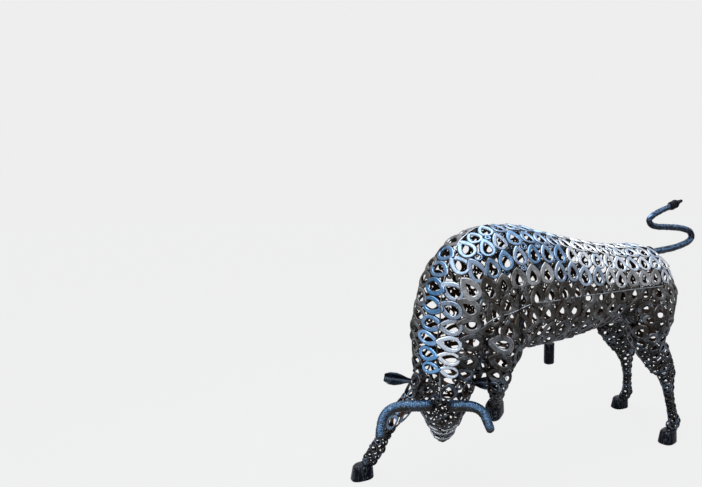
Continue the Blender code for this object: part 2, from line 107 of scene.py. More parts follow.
# Thin rod along each flank, and the pair of dark rods down the flank behind the shoulder
FLANK_ROD = (
    (62, -25, 101.5), (40, -27, 102), (20, -28, 102.3), (6, -28.3, 102.6), (-6.4, -28.9, 102.8),
    (-27, -28.9, 102.2), (-41, -28.2, 101.9), (-53, -26.6, 98.2), (-65, -25, 95.1), (-70.7, -23.6, 90.3),
    (-73.5, -22.3, 84.5))
SHOULDER_RODS = (
    (-49.4, -27.6, 112), (-48.7, -27.5, 101.6), (-48.8, -28.7, 94.3), (-48.9, -29.9, 87), (-48.6, -29.4, 81))
SHOULDER_ROD_SHIFT = 0.5
# How far the painted highlight reaches down each side, in degrees, along the body, and how bright it is
BRIGHT_REACH_LEFT = (
    (0.0, 77), (0.36, 74), (0.40, 70), (0.52, 68), (0.57, 60), (0.62, 40), (0.67, 27), (1.0, 24))
BRIGHT_REACH_RIGHT = ((0.0, 77), (0.48, 72), (0.52, 8), (0.605, 8), (0.64, 26), (1.0, 24))
BRIGHT_LEVEL = (
    (0.0, 0.70), (0.36, 0.78), (0.42, 0.50), (0.64, 0.46), (0.68, 0.75), (0.71, 0.95), (0.82, 0.95),
    (0.84, 0.0))
# Turn of the neck's upper seam toward its left side, at the last four sections of the neck
SEAM_YAWS = (34, 40, 42, 48)
# Degrees over which the painted highlight gives way, and the most painted shine that a dark ring has
BRIGHT_FADE = 14
DARK_SHINE = 0.08
CLEARLY_BRIGHT = 0.3
# Where small rings stay blue round the back, and the height below which the dark steel turns from brown to a
# darker navy, a painted shade
TOP_TURN = 1.25
DARK_WARM_HEIGHT = 0.92
DARK_COOL_DROP = 0.34
# From which shares of the body's length on the painted highlight has the tints of the hump and of the neck,
# white to a painted sky-blue reflection
HUMP_TONES = 0.40
NECK_TONES = 0.60
# Wider holes: on the far side, and under the throat from a share of the body's length on
FAR_SIDE_TURN = 0.6
THROAT_SHARE = 0.76
THROAT_TURN = 1.7
# Smallest ring on the body that has the painted highlight, and from which share of its length on only larger
# ones have it
SMALLEST_BRIGHT = 0.036
SMALLEST_BRIGHT_NECK = 0.048
NECK_SHARE = 0.62
# Stretched foreleg: the shares of its length between which its rings are long and open, and their painted
# shine
LONG_RINGS = (0.50, 0.80)
LONG_RING_SHINE = 0.34
# Sizes of the rings that fill what the rows leave bare, on the body and low on the legs
SMALLEST_RING = 0.017
SMALLEST_OPEN_FILL = 0.018
LARGEST_FILL = 0.080
LARGEST_LOW_FILL = 0.026
LOW_FILL_HEIGHT = 0.30
LOW_FILL_BLEND = 0.55
FILL_WIDTH = 1.9
FILL_HEIGHT = 2.1
# Rings lower than the first height are made from the small blank; over the second a plate lies at full depth
SMALL_RING = 0.045
DEEP_RING = 0.040
# How near rings may come: to roots, to other rings, and to the next in their row, as shares of a ring
ROOT_CLEARANCE = 0.8
RING_CLEARANCE = 0.93
ROW_CLEARANCE = 0.47
NEIGHBOUR_CELL = 0.12
# How far the skin may lie from a limb's own ellipse to be taken as that limb, as a share
SPINE_TOLERANCE = 0.45
LEG_TOLERANCE = 0.28
# Half the turn round a limb from which a ring's upward direction is taken
UP_TURN = 0.1
# The skin: grid and smoothing of its mesh, sides and steps of each limb, and steps along a row of rings
SKIN_GRID = 0.012
SKIN_SMOOTHING = (0.5, 6)
LOFT_SIDES = 32
LOFT_STEPS = 5
ROW_STEPS = 500
# How far rings and beads are turned out of true at random, in radians
RING_TILT = 0.07
BEAD_TILT = 0.5
# Weld beads: size, proportions and spread; how near two rings must be, and how much of their painted shine
# one has
BEAD_SIZE = 0.010
BEAD_SHAPE = (1.5, 1.0, 0.9)
BEAD_SPREAD = (0.8, 1.3)
BEAD_REACH = 1.10
BEAD_SAME_WAY = 0.2
BEAD_SHINE = 0.12
FULL_BEAD_RADIUS = 1 / 18
# Rods along the body and the bands over the muzzle
SEAM_DIAMETER = 0.010
NECK_SEAM_DIAMETER = 0.007
FLANK_ROD_DIAMETER = 0.0075
SHOULDER_ROD_DIAMETER = 0.008
FACE_BAND_DIAMETER = 0.011
SEAM_STEPS = 160
HOOP_STEPS = 40
ROD_STEPS = 12
BAR_STEPS = 10
SHORTEST_ROD = 5
# Relief of the bars: pitch and height of the ripple, step and sides of the sweep, scale and depth of lumps
Weld = namedtuple("Weld", "pitch height step sides lump_scale lump_height")
HORN_WELD = Weld(0.0085, 0.0022, 0.0022, 40, 175.0, 0.0026)
TAIL_WELD = Weld(0.06, 0.0004, 0.006, 24, 45.0, 0.0020)
TUFT_WELD = Weld(0.01, 0.0004, 0.004, 8, 60.0, 0.0008)
BAND_WELD = Weld(0.012, 0.0008, 0.005, 10, 60.0, 0.0008)
ROD_WELD = Weld(0.012, 0.0008, 0.006, 8, 60.0, 0.0008)
TUBE_WELD = Weld(0.02, 0.0004, 0.004, 28, 50.0, 0.0010)
ROUND_TIP_TURNS = (20, 40, 58, 74, 84)
ROUND_TIP_SHARE = 0.95
TUFT_WIRE = 0.0048
TUFT_TURNS = 13
WINDING_STEPS = 360
CORE_STEPS = 12
SHEATH_SECTIONS = ((0.0, 0.98), (0.3, 0.98), (0.6, 0.98), (0.9, 0.98), (0.97, 0.94), (1.0, 0.82))
# Hooves: height, size and setback of each level; ears: sheet, its edge and how it is divided
HOOF_LEVELS = (
    (0.0, 0.980, 0.0), (0.03, 0.998, 0.0), (0.25, 0.966, 0.014), (0.50, 0.930, 0.028), (0.85, 0.875, 0.048),
    (0.885, 0.862, 0.051), (0.985, 0.770, 0.069), (1.0, 0.735, 0.070))
HOOF_SIDES = 44
HOOF_RIDGE = 0.012
HOOF_UNEVENNESS = 0.010
EAR_SHEET = 0.004
EAR_EDGE = 0.0012
EAR_ROWS = 24
EAR_COLUMNS = 12
EAR_TRIM = 0.97
# Fold along an ear: depth and width, and where the light catches it and the upper rim, as shares of the width
FOLD_DEPTH = 0.25
FOLD_SHARE = 0.2
FOLD_AT = -0.03
FOLD_WIDTH = 0.16
FOLD_SHINE = 0.5
RIM_AT = 0.30
RIM_SHINE = 0.8
# Steel: how fine its patches, grain, scratches and painted glint specks are, and the tints of the painted
# glint specks, the painted edge glints and the painted shade inside
PATCHES_PER_METRE = 14
GRAINS_PER_METRE = 160
SCRATCHES_PER_METRE = 520
GLINT_SPECKS_PER_METRE = 75
STREAKS_PER_METRE = 110
NOISE_ROUGHNESS = 0.6
RELIEF_DEPTH = 0.001
GLINT_SPECK_TINT = (0.45, 0.50, 0.55)
DULL_EDGE_GLINT_TINT = (0.42, 0.46, 0.50)
BRIGHT_EDGE_GLINT_TINT = (0.96, 0.97, 0.98)
INSIDE_SHADE_TINT = (0.036, 0.020, 0.013)

MODULE = HUMP_HEIGHT / 143.0
Station = namedtuple("Station", "x y z half_width half_depth yaw", defaults=(0.0,))


def stations(*rows):
    return [Station(*row) for row in rows]


TRUNK = stations(
    (85, 0, 105, 6, 7), (83, 0, 105, 14, 14), (75, 0, 102, 21.5, 21.5), (60, 0, 101, 25, 25.7),
    (32, 0, 102, 26.2, 26.2), (5, 0, 102.5, 28.5, 30.5), (-20, 0, 104, 29.2, 34),
    (-42, 0, 106.5, 28.5, 36.2), (-58, 0, 107, 26, 33), (-68, 0, 105, 18, 25), (-74, 0, 103, 8, 12))
NECK = stations(
    (-30, 0, 105, 20, 28), (-49, 0.5, 108, 26.5, 35, 5), (-62, 1, 101, 26.8, 32.5, 12),
    (-68.5, 2.5, 89, 25.2, 28, 24), (-72, 3.5, 77, 24, 24.5, 36), (-76.5, 2.5, 66, 20.5, 20.5, 48),
    (-80, 0, 57.5, 16.5, 15.5, 58))
HEAD = stations(
    (-79, 1, 66, 13, 12, 60), (-80, 0, 60, 16.5, 15, 60), (-82, -0.5, 52, 16, 14.5, 62),
    (-81, 0, 45, 13.5, 13, 62), (-79.5, 3.3, 38.5, 11.1, 11.5, 62), (-77.7, 7.3, 31.5, 8, 9.5, 62),
    (-76.5, 11.2, 24.5, 6.7, 8.2, 62), (-75.5, 12.7, 19.5, 5.2, 5.8, 62))
HIND_LEFT = stations(
    (65, -6, 102, 10, 16), (64.5, -12, 95, 14.5, 20), (61, -16.5, 84, 13.5, 18),
    (56.5, -19.5, 72, 11.5, 14.8), (57.5, -21.5, 62, 9, 10.8), (63, -23.5, 53, 6.8, 10),
    (67.5, -25, 45.5, 5.5, 7.8), (69, -26.8, 37, 3.9, 4.7), (69.6, -28.4, 28, 3.1, 3.4),
    (70.2, -30, 21, 3, 3.2), (70.6, -31.4, 15.5, 3.1, 3.6), (70.2, -33, 11, 3.5, 4.3))
HIND_RIGHT = stations(
    (66, 6, 102, 10, 16), (65, 12, 95, 14.5, 20), (64, 16.5, 84, 13.5, 19.5), (64, 18.5, 72, 11.5, 17),
    (68, 19.5, 62, 9, 13), (73.5, 20, 53, 6.8, 10), (77, 20.5, 45.5, 5.5, 7.5),
    (79.2, 20.8, 37, 3.9, 4.7), (80.8, 21.2, 28, 3.1, 3.4), (81.7, 21.8, 21, 3, 3.2),
    (82.5, 22.3, 15.5, 3.1, 3.6), (82.4, 22.8, 11, 3.5, 4.3))
FORE_LEFT = stations(
    (-38, -9, 105, 12, 17), (-43, -15, 95, 13, 17), (-52, -19, 84, 11.5, 12.5),
    (-55.5, -21.5, 75, 9, 9.2), (-58.5, -22.5, 67, 6.6, 7), (-59.5, -22.5, 60, 5.2, 5.6),
    (-58.5, -19.5, 53, 4, 4.2), (-56.4, -16.3, 48, 3.2, 3.4), (-55, -13.6, 44.5, 3.4, 3.6))
FORE_RIGHT = stations(
    (-38, 9, 105, 12, 17), (-42, 15, 93, 13, 19), (-51, 18, 80, 11.5, 16), (-62, 19.5, 69, 9, 11.5),
    (-75, 20.5, 58, 6.6, 8), (-87, 21, 47.5, 5.2, 5.8), (-94.5, 21.5, 40, 4.5, 5),
    (-102, 22.5, 31, 3.4, 3.6), (-108.2, 23.8, 22.5, 3.4, 3.6), (-112.6, 24.6, 15, 3.9, 4.4))
Hoof = namedtuple("Hoof", "x y z yaw up")
HOOVES = {
    "hoof_hind_left": Hoof(62.7, -35.2, 0, 12, (0, 0, 1)),
    "hoof_hind_right": Hoof(77.3, 24, 0, -6, (0, 0, 1)),
    "hoof_front_right": Hoof(-120.6, 26.2, 0, -6, (0, 0, 1)),
    "hoof_front_left": Hoof(-53.7, -8.8, 36.3, 35, (-1.5, -3, 8)),
}
HORN_RIGHT = [
    (-90.1, -5.2, 47.8), (-94.1, -7.2, 49.2), (-100, -5.5, 49.7), (-106, -2.3, 49.7),
    (-111.1, -0.4, 48.6), (-114.9, -0.3, 45.9), (-117.6, -2.2, 41.9), (-119.4, -4.8, 37.4),
]
HORN_LEFT = [
    (-82.1, -11.2, 47.8), (-80.3, -16.6, 49.3), (-76.6, -19.7, 49.5), (-73.3, -23.3, 49.1),
    (-71.4, -27.3, 47.4), (-71.1, -30.9, 44.3), (-71.5, -34.9, 41.3),
]
TAIL = [
    (74, 0, 118.2), (81, 0, 120.1), (90, 0, 120.9), (98, 0, 121.7), (107, 0, 123.3), (114.5, 0, 125.6),
    (117.6, 0, 129), (114.5, 0, 133), (105, 0, 135.4), (92, 0, 136.5), (82, 0, 137.1),
    (75.8, 0, 138.8), (73.8, 0, 142), (77.5, 0, 145), (85, 0, 147.9), (92, 0, 150),
]
TUFT_DIRECTION = (15, 0, 5.2)
TUFT_PROFILE = [0.70, 1.0, 0.95, 1.0, 0.60, 0.42, 0.38]
EARS = {
    "ear_right": ((-95.2, 10.2, 57.8), (-13.7, 6, 3)),
    "ear_left": ((-67, -6.3, 56.5), (8.5, -10.4, 1.1)),
}
EAR_FACING = (-0.5, -0.8, 0.2)
EAR_PROFILE = [0.25, 0.30, 0.48, 0.80, 1.0, 0.97, 0.56]
EAR_CUP = 0.35
HOOF_SECTIONS = ((0.0, 1.0, 0.0), (0.88, 0.87, 0.05), (1.0, 0.76, 0.07))
HOOF_SQUARENESS = 0.75
ANKLE_SHARES = (0.29, 0.23)
SHEATH_TOP = (-8.4, 0, 68.8)

# The tables start from the middle of the bull's chest, and one hoof says where that is in the frame
hoof_low, hoof_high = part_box("hoof_hind_left")
ORIGIN = Vector((
    0.5 * (hoof_low.x + hoof_high.x) - MODULE * HOOVES["hoof_hind_left"].x,
    0.5 * (hoof_low.y + hoof_high.y) - MODULE * HOOVES["hoof_hind_left"].y,
    0.0,
))


def placed(point):
    """A place in the tables, in metres in the frame."""
    return ORIGIN + Vector(point) * MODULE


def smooth_line(points, steps):
    """Points on a Catmull-Rom curve, with the given steps between each two of them."""
    rows = [[float(value) for value in point] for point in points]
    before = [2 * a - b for a, b in zip(rows[0], rows[1])]
    after = [2 * a - b for a, b in zip(rows[-1], rows[-2])]
    rows = [before] + rows + [after]
    line = []
    for index in range(1, len(rows) - 2):
        for step in range(steps):
            t = step / steps
            line.append([
                0.5 * (2 * b + (c - a) * t + (2 * a - 5 * b + 4 * c - d) * t ** 2
                       + (3 * b - a - 3 * c + d) * t ** 3)
                for a, b, c, d in zip(*rows[index - 1:index + 3])
            ])
    line.append(rows[-2])
    return line


def hoof_matrix(hoof):
    """Frame of a hoof: -X to the toe, +Z to its top, origin in the middle of the sole."""
    up = Vector(hoof.up).normalized()
    yaw = math.radians(hoof.yaw)
    heel = Vector((math.cos(yaw), math.sin(yaw), 0.0))
    heel = (heel - up * heel.dot(up)).normalized()
    matrix = Matrix((heel, up.cross(heel), up)).transposed().to_4x4()
    matrix.translation = placed((hoof.x, hoof.y, hoof.z))
    return matrix


def ankle(hoof):
    """Last section of a leg, sunk into the top of its hoof."""
    setback = HOOF_SECTIONS[-1][2] * HOOF_LENGTH
    centre = hoof_matrix(hoof) @ Vector((setback, 0.0, HOOF_HEIGHT - ROOT_DEPTH))
    return [*centre, ANKLE_SHARES[0] * HOOF_WIDTH, ANKLE_SHARES[1] * HOOF_LENGTH, hoof.yaw]


class Limb:
    """A tube through stations, each an ellipse square to the tube's middle line."""

    def __init__(self, table, hoof=None):
        rows = []
        for station in table:
            centre = placed(station[:3])
            rows.append([*centre, MODULE * station.half_width, MODULE * station.half_depth, station.yaw])
        if hoof is not None:
            rows.append(ankle(hoof))
        rows = smooth_line(rows, LOFT_STEPS)
        self.centres = [Vector(row[:3]) for row in rows]
        self.widths = [row[3] for row in rows]
        self.depths = [row[4] for row in rows]
        self.frames = []
        for index, row in enumerate(rows):
            ahead = self.centres[min(index + 1, len(rows) - 1)]
            behind = self.centres[max(index - 1, 0)]
            along = (ahead - behind).normalized()
            yaw = math.radians(row[5])
            side = Vector((-math.sin(yaw), math.cos(yaw), 0.0))
            side = (side - along * side.dot(along)).normalized()
            self.frames.append((along, side, along.cross(side)))
        self.reach = [0.0]
        for a, b in zip(self.centres, self.centres[1:]):
            self.reach.append(self.reach[-1] + (b - a).length)

    def at(self, reach):
        """Centre, half width, half depth and frame at a distance along the middle line."""
        index = 0
        while index < len(self.reach) - 2 and self.reach[index + 1] < reach:
            index += 1
        span = self.reach[index + 1] - self.reach[index]
        t = min(max((reach - self.reach[index]) / span, 0.0), 1.0)
        axes = [a.lerp(b, t).normalized() for a, b in zip(self.frames[index], self.frames[index + 1])]
        centre = self.centres[index].lerp(self.centres[index + 1], t)
        width = self.widths[index] * (1 - t) + self.widths[index + 1] * t
        depth = self.depths[index] * (1 - t) + self.depths[index + 1] * t
        return centre, width, depth, axes

    def point(self, reach, angle):
        """Point of the tube's surface, its angle counted from the upper or front line."""
        centre, width, depth, (along, side, under) = self.at(reach)
        return centre + side * (width * math.sin(angle)) - under * (depth * math.cos(angle))

    def girth(self, reach):
        centre, width, depth, axes = self.at(reach)
        return math.pi * (width + depth)

    def add_to(self, bm):
        loops = []
        for reach in self.reach:
            angles = [2 * math.pi * k / LOFT_SIDES for k in range(LOFT_SIDES)]
            loops.append([bm.verts.new(self.point(reach, angle)) for angle in angles])
        bridge_loops(bm, loops)


def bridge_loops(bm, loops, capped=True, closed=False):
    """Side faces between loops of equal length, with both ends capped or joined to each other."""
    pairs = list(zip(loops, loops[1:]))
    if closed:
        pairs.append((loops[-1], loops[0]))
    for loop, following in pairs:
        count = len(loop)
        for k in range(count):
            bm.faces.new((loop[k], loop[(k + 1) % count], following[(k + 1) % count], following[k]))
    if capped and not closed:
        bm.faces.new(loops[0])
        bm.faces.new(loops[-1])


def new_object(name, data):
    obj = bpy.data.objects.new(name, data)
    bpy.context.scene.collection.objects.link(obj)
    return obj


def carry(mesh, label, values):
    """Gives each point of a mesh a value of its own, one number or three."""
    numbers = np.array(values, dtype=np.float32)
    kind, field_name = ("FLOAT", "value") if numbers.ndim == 1 else ("FLOAT_VECTOR", "vector")
    mesh.attributes.new(label, kind, "POINT").data.foreach_set(field_name, numbers.ravel())


def mesh_object(name, bm, sharp_over=None):
    """Object from a mesh under construction, its faces pointing out."""
    bmesh.ops.recalc_face_normals(bm, faces=bm.faces)
    mesh = bpy.data.meshes.new(name)
    bm.to_mesh(mesh)
    bm.free()
    if sharp_over is not None:
        mesh.shade_smooth()
        mesh.set_sharp_from_angle(angle=math.radians(sharp_over))
    return new_object(name, mesh)


def settled(obj, name):
    """The object with its modifiers worked in, as a plain mesh under a new name."""
    graph = bpy.context.evaluated_depsgraph_get()
    mesh = bpy.data.meshes.new_from_object(obj.evaluated_get(graph), depsgraph=graph)
    mesh.name = name
    finished = new_object(name, mesh)
    bpy.data.objects.remove(obj)
    return finished


def hand_in(obj, slot, *nodes):
    """Hangs a finished piece under the root body and hides the solids that it stands for; the finish it is
    given is not used.
    """
    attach(obj, "root")
    if nodes:
        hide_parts(*nodes)


def live(sockets, name):
    """The socket of that name that the node's present settings use."""
    return next(socket for socket in sockets if socket.name == name and socket.enabled)


class Tree:
    """A node tree under construction, for a mesh or for a material."""

    def __init__(self, tree):
        self.tree = tree

    def add(self, kind, inputs=(), **settings):
        """A new node, each input given a plain value or joined to an output of another node."""
        node = self.tree.nodes.new(kind)
        for key, value in settings.items():
            setattr(node, key, value)
        for label, value in dict(inputs).items():
            socket = node.inputs[label] if isinstance(label, int) else live(node.inputs, label)
            if isinstance(value, bpy.types.NodeSocket):
                self.link(value, socket)
            else:
                socket.default_value = value
        return node

    def link(self, source, target):
        self.tree.links.new(source, target)


def math_of(build, operation, a, b=0.0):
    return build.add("ShaderNodeMath", {0: a, 1: b}, operation=operation).outputs[0]


def span_of(build, value, low, high, to_low, to_high):
    """The value, stretched from one span to another and held inside it."""
    node = build.add("ShaderNodeMapRange", {
        "Value": value, "From Min": low, "From Max": high, "To Min": to_low, "To Max": to_high})
    return node.outputs["Result"]


def geometry_tree(name, inputs):
    """Empty geometry tree with named inputs: the tree, what it is given, and its end node."""
    tree = bpy.data.node_groups.new(name, "GeometryNodeTree")
    tree.interface.new_socket("Geometry", in_out="INPUT", socket_type="NodeSocketGeometry")
    for label, kind in inputs:
        tree.interface.new_socket(label, in_out="INPUT", socket_type=kind)
    tree.interface.new_socket("Geometry", in_out="OUTPUT", socket_type="NodeSocketGeometry")
    build = Tree(tree)
    return build, build.add("NodeGroupInput").outputs, build.add("NodeGroupOutput")


def finish_tree(build, geometry, finish, end):
    """Ends a geometry tree in plain meshes of one finish."""
    real = build.add("GeometryNodeRealizeInstances", {"Geometry": geometry})
    dressed = build.add("GeometryNodeSetMaterial", {"Geometry": real.outputs["Geometry"], "Material": finish})
    build.link(dressed.outputs["Geometry"], end.inputs["Geometry"])
    return build.tree


def run_tree(obj, tree, values, name):
    """Works a geometry tree into an object, its inputs set by their identifiers."""
    modifier = obj.modifiers.new(tree.name, "NODES")
    modifier.node_group = tree
    for item in tree.interface.items_tree:
        if item.item_type == "SOCKET" and item.in_out == "INPUT" and item.name in values:
            modifier[item.identifier] = values[item.name]
    obj.update_tag()
    return settled(obj, name)


def carried(build, label, kind):
    """A value that the points or the line carry themselves."""
    node = build.add("GeometryNodeInputNamedAttribute", data_type=kind)
    node.inputs["Name"].default_value = label
    return live(node.outputs, "Attribute")


def scatter_tree():
    """Copies of one welded shape on points that carry their own turn and size."""
    build, given, end = geometry_tree("scatter_welded_shapes", [
        ("Shape", "NodeSocketObject"), ("Tilt", "NodeSocketFloat"), ("Seed", "NodeSocketInt"),
        ("Finish", "NodeSocketMaterial")])
    shape = build.add("GeometryNodeObjectInfo", {"Object": given["Shape"]})
    facing = build.add("FunctionNodeEulerToRotation", {0: carried(build, "turn", "FLOAT_VECTOR")})
    lowest = build.add("ShaderNodeVectorMath", {0: (-1, -1, -1), "Scale": given["Tilt"]}, operation="SCALE")
    highest = build.add("ShaderNodeVectorMath", {0: (1, 1, 1), "Scale": given["Tilt"]}, operation="SCALE")
    wobble = build.add("FunctionNodeRandomValue", {
        "Min": lowest.outputs[0], "Max": highest.outputs[0], "Seed": given["Seed"]}, data_type="FLOAT_VECTOR")
    wobble_turn = build.add("FunctionNodeEulerToRotation", {0: live(wobble.outputs, "Value")})
    turned = build.add("FunctionNodeRotateRotation", {
        "Rotation": facing.outputs[0], "Rotate By": wobble_turn.outputs[0]}, rotation_space="LOCAL")
    copies = build.add("GeometryNodeInstanceOnPoints", {
        "Points": given["Geometry"], "Instance": shape.outputs["Geometry"], "Rotation": turned.outputs[0],
        "Scale": carried(build, "size", "FLOAT_VECTOR")})
    return finish_tree(build, copies.outputs["Instances"], given["Finish"], end)


def bar_tree():
    """A round bar swept along a polyline, rippled by the passes of the weld and lumpy between them."""
    numbers = ("Ripple pitch", "Ripple height", "Step", "Lump scale", "Lump height")
    build, given, end = geometry_tree("sweep_round_bar", [
        *((label, "NodeSocketFloat") for label in numbers), ("Sides", "NodeSocketInt"),
        ("Finish", "NodeSocketMaterial")])
    curve = build.add("GeometryNodeMeshToCurve", {"Mesh": given["Geometry"]})
    steps = build.add("GeometryNodeResampleCurve", mode="LENGTH")
    build.link(curve.outputs["Curve"], steps.inputs["Curve"])
    build.link(given["Step"], live(steps.inputs, "Length"))
    along = build.add("GeometryNodeSplineParameter")
    pitches = math_of(build, "DIVIDE", along.outputs["Length"], given["Ripple pitch"])
    wave = math_of(build, "SINE", math_of(build, "MULTIPLY", pitches, math.pi))
    rise = math_of(build, "MULTIPLY", math_of(build, "ABSOLUTE", wave), given["Ripple height"])
    radius = math_of(build, "ADD", carried(build, "bar_radius", "FLOAT"), rise)
    section = build.add("GeometryNodeCurvePrimitiveCircle", {"Radius": 1.0, "Resolution": given["Sides"]})
    sweep = build.add("GeometryNodeCurveToMesh", {
        "Curve": steps.outputs["Curve"], "Profile Curve": section.outputs["Curve"], "Scale": radius,
        "Fill Caps": True})
    grain = build.add("ShaderNodeTexNoise", {"Detail": 1.0, "Scale": given["Lump scale"]})
    lump = span_of(build, grain.outputs["Fac"], 0.38, 0.62, 0.0, 1.0)
    kept = build.add("GeometryNodeStoreNamedAttribute", {
        "Geometry": sweep.outputs["Mesh"], "Name": "lump", "Value": lump}, data_type="FLOAT", domain="POINT")
    sunk = math_of(build, "MULTIPLY", math_of(build, "SUBTRACT", lump, 1.0), given["Lump height"])
    normal = build.add("GeometryNodeInputNormal").outputs["Normal"]
    offset = build.add("ShaderNodeVectorMath", {0: normal, "Scale": sunk}, operation="SCALE")
    moved = build.add("GeometryNodeSetPosition", {
        "Geometry": kept.outputs["Geometry"], "Offset": offset.outputs[0]})
    return finish_tree(build, moved.outputs["Geometry"], given["Finish"], end)


def carrier(name, points, edges, **carried_values):
    """Bare points, joined by edges or loose, that carry values: one number or three for each point."""
    mesh = bpy.data.meshes.new(name)
    mesh.from_pydata(points, edges, [])
    for label, values in carried_values.items():
        carry(mesh, label, values)
    return new_object(name, mesh)


def marked_points(name, spots):
    """Loose points that carry the turn, size, shine and tone of the shape that goes on each."""
    return carrier(
        name, [spot.place for spot in spots], [], turn=[tuple(spot.turn.to_euler()) for spot in spots],
        size=[spot.size for spot in spots], shine=[spot.shine for spot in spots],
        tone=[spot.tone for spot in spots])


def bar_line(name, lines):
    """Polylines with a radius at each point, ready to be swept."""
    points, edges, radii = [], [], []
    for line in lines:
        first = len(points)
        points += [point for point, radius in line]
        radii += [radius for point, radius in line]
        edges += [(k, k + 1) for k in range(first, len(points) - 1)]
    return carrier(name, points, edges, bar_radius=radii)


# The skin that everything is welded along
def build_skin(limbs):
    bm = bmesh.new()
    for limb in limbs:
        limb.add_to(bm)
    body = mesh_object("body_form", bm)
    remesh = body.modifiers.new("melt", "REMESH")
    remesh.mode = "VOXEL"
    remesh.voxel_size = SKIN_GRID
    smooth = body.modifiers.new("smooth", "SMOOTH")
    smooth.factor, smooth.iterations = SKIN_SMOOTHING
    body = settled(body, "body_form")
    mesh = body.data
    bpy.data.objects.remove(body)
    return mesh


Spot = namedtuple("Spot", "place turn size shine tone")
Ring = namedtuple("Ring", "place normal up width height part share angle")


def mean_radius(ring):
    return 0.25 * (ring.width + ring.height)


class RingField:
    """Rings over the skin: rows along each limb, then smaller rings in what is left between them."""

    def __init__(self, skin, roots):
        self.tree = BVHTree.FromPolygons(
            [vert.co for vert in skin.vertices], [tuple(face.vertices) for face in skin.polygons])
        self.roots = roots
        self.rings = []
        self.cells = {}

    def cell(self, place):
        return tuple(math.floor(value / NEIGHBOUR_CELL) for value in place)

    def near(self, place):
        """Rings in the cell of a place and in the cells round it."""
        base = self.cell(place)
        for step in product((-1, 0, 1), repeat=3):
            yield from self.cells.get(tuple(a + b for a, b in zip(base, step)), ())

    def is_free(self, place, normal, radius):
        """Whether a ring of that radius keeps clear of the roots and of the rings on its side of the skin."""
        if any((place - root).length < ROOT_CLEARANCE * radius + reach for root, reach in self.roots):
            return False
        return not any(
            other.normal.dot(normal) >= 0
            and (place - other.place).length < RING_CLEARANCE * (radius + mean_radius(other))
            for other in self.near(place))

    def surface(self, limb, reach, angle, tolerance):
        """Place and normal of the skin at an angle round a limb, or None where another limb covers it."""
        centre = limb.at(reach)[0]
        outward = limb.point(reach, angle) - centre
        place, normal, face, distance = self.tree.ray_cast(centre, outward.normalized())
        if place is None or abs(distance - outward.length) > tolerance * outward.length:
            return None
        return place, normal

    def add(self, ring):
        for vector in (ring.place, ring.normal, ring.up):
            vector.freeze()
        self.rings.append(ring)
        self.cells.setdefault(self.cell(ring.place), []).append(ring)

    def cover(self, part, limb, start, stop, rows, aspect, tolerance):
        """Rows of rings along a limb, between two shares of its length, in a brick pattern."""
        length = limb.reach[-1]
        for row in range(rows):
            angle = 2 * math.pi * (row + 0.5) / rows
            walked = 1.0 - 0.5 * (min(row, rows - 1 - row) % 2)
            before = None
            for step in range(ROW_STEPS + 1):
                reach = length * (start + (stop - start) * step / ROW_STEPS)
                height = max(limb.girth(reach) / rows, SMALLEST_RING)
                pitch = aspect * height
                spot = self.surface(limb, reach, angle, tolerance)
                if spot is None:
                    before = None
                    continue
                if before is not None:
                    walked += (spot[0] - before).length / pitch
                before = spot[0]
                if walked >= 1.0 and self.is_free(*spot, ROW_CLEARANCE * pitch):
                    walked = 0.0
                    toward_back = limb.point(reach, angle - UP_TURN) - limb.point(reach, angle + UP_TURN)
                    if math.sin(angle) < 0:
                        toward_back = -toward_back
                    self.add(Ring(
                        *spot, toward_back, pitch, height, part, reach / length,
                        math.remainder(angle, 2 * math.pi)))

    def fill(self, skin, largest):
        """Rings in the largest places still bare, one after another, down to the smallest ring."""
        count = len(skin.vertices)
        places = np.zeros(count * 3)
        skin.vertices.foreach_get("co", places)
        places = places.reshape(-1, 3)
        normals = np.zeros(count * 3, np.float32)
        skin.vertex_normals.foreach_get("vector", normals)
        normals = normals.reshape(-1, 3)
        room = np.array([largest(place) for place in places])
        for root, reach in self.roots:
            room = np.minimum(room, np.linalg.norm(places - np.array(root), axis=1) - reach)
        for ring in self.rings:
            self.take(room, places, normals, ring)
        parts = KDTree(len(self.rings))
        for index, ring in enumerate(self.rings):
            parts.insert(ring.place, index)
        parts.balance()
        first = list(self.rings)
        while True:
            index = int(room.argmax())
            radius = float(room[index])
            if radius < 0.5 * SMALLEST_RING:
                break
            place, normal = Vector(places[index]), Vector(normals[index])
            nearest = first[parts.find(place)[1]]
            if shine_of(nearest, 0.5) > 0.5 and radius < SMALLEST_OPEN_FILL:
                room[index] = 0.0
                continue
            ring = nearest._replace(
                place=place, normal=normal, width=FILL_WIDTH * radius, height=FILL_HEIGHT * radius)
            self.add(ring)
            self.take(room, places, normals, ring)

    def take(self, room, places, normals, ring):
        """Marks what a ring covers, leaving alone the far side of a thin limb."""
        offsets = places - np.array(ring.place)
        distance = np.linalg.norm(offsets, axis=1) - mean_radius(ring)
        same_side = normals @ np.array(ring.normal) > 0
        near = same_side & (distance < room)
        room[near] = distance[near]


def facing(normal, up):
    """Turn that lays a flat shape on the skin, its point the given way."""
    up = (up - normal * up.dot(normal)).normalized()
    side = up.cross(normal)
    return Matrix((side, up, normal)).transposed()


def teardrop(count, pinch, width, height, drop=0.0):
    """Outline with its point at the top, of the given size."""
    shares = []
    for k in range(count):
        turn = 2 * math.pi * k / count
        shares.append((math.sin(turn) * abs(math.sin(0.5 * turn)) ** pinch, math.cos(turn)))
    widest = max(abs(x) for x, y in shares)
    return [(0.5 * width * x / widest, 0.5 * height * y - drop) for x, y in shares]


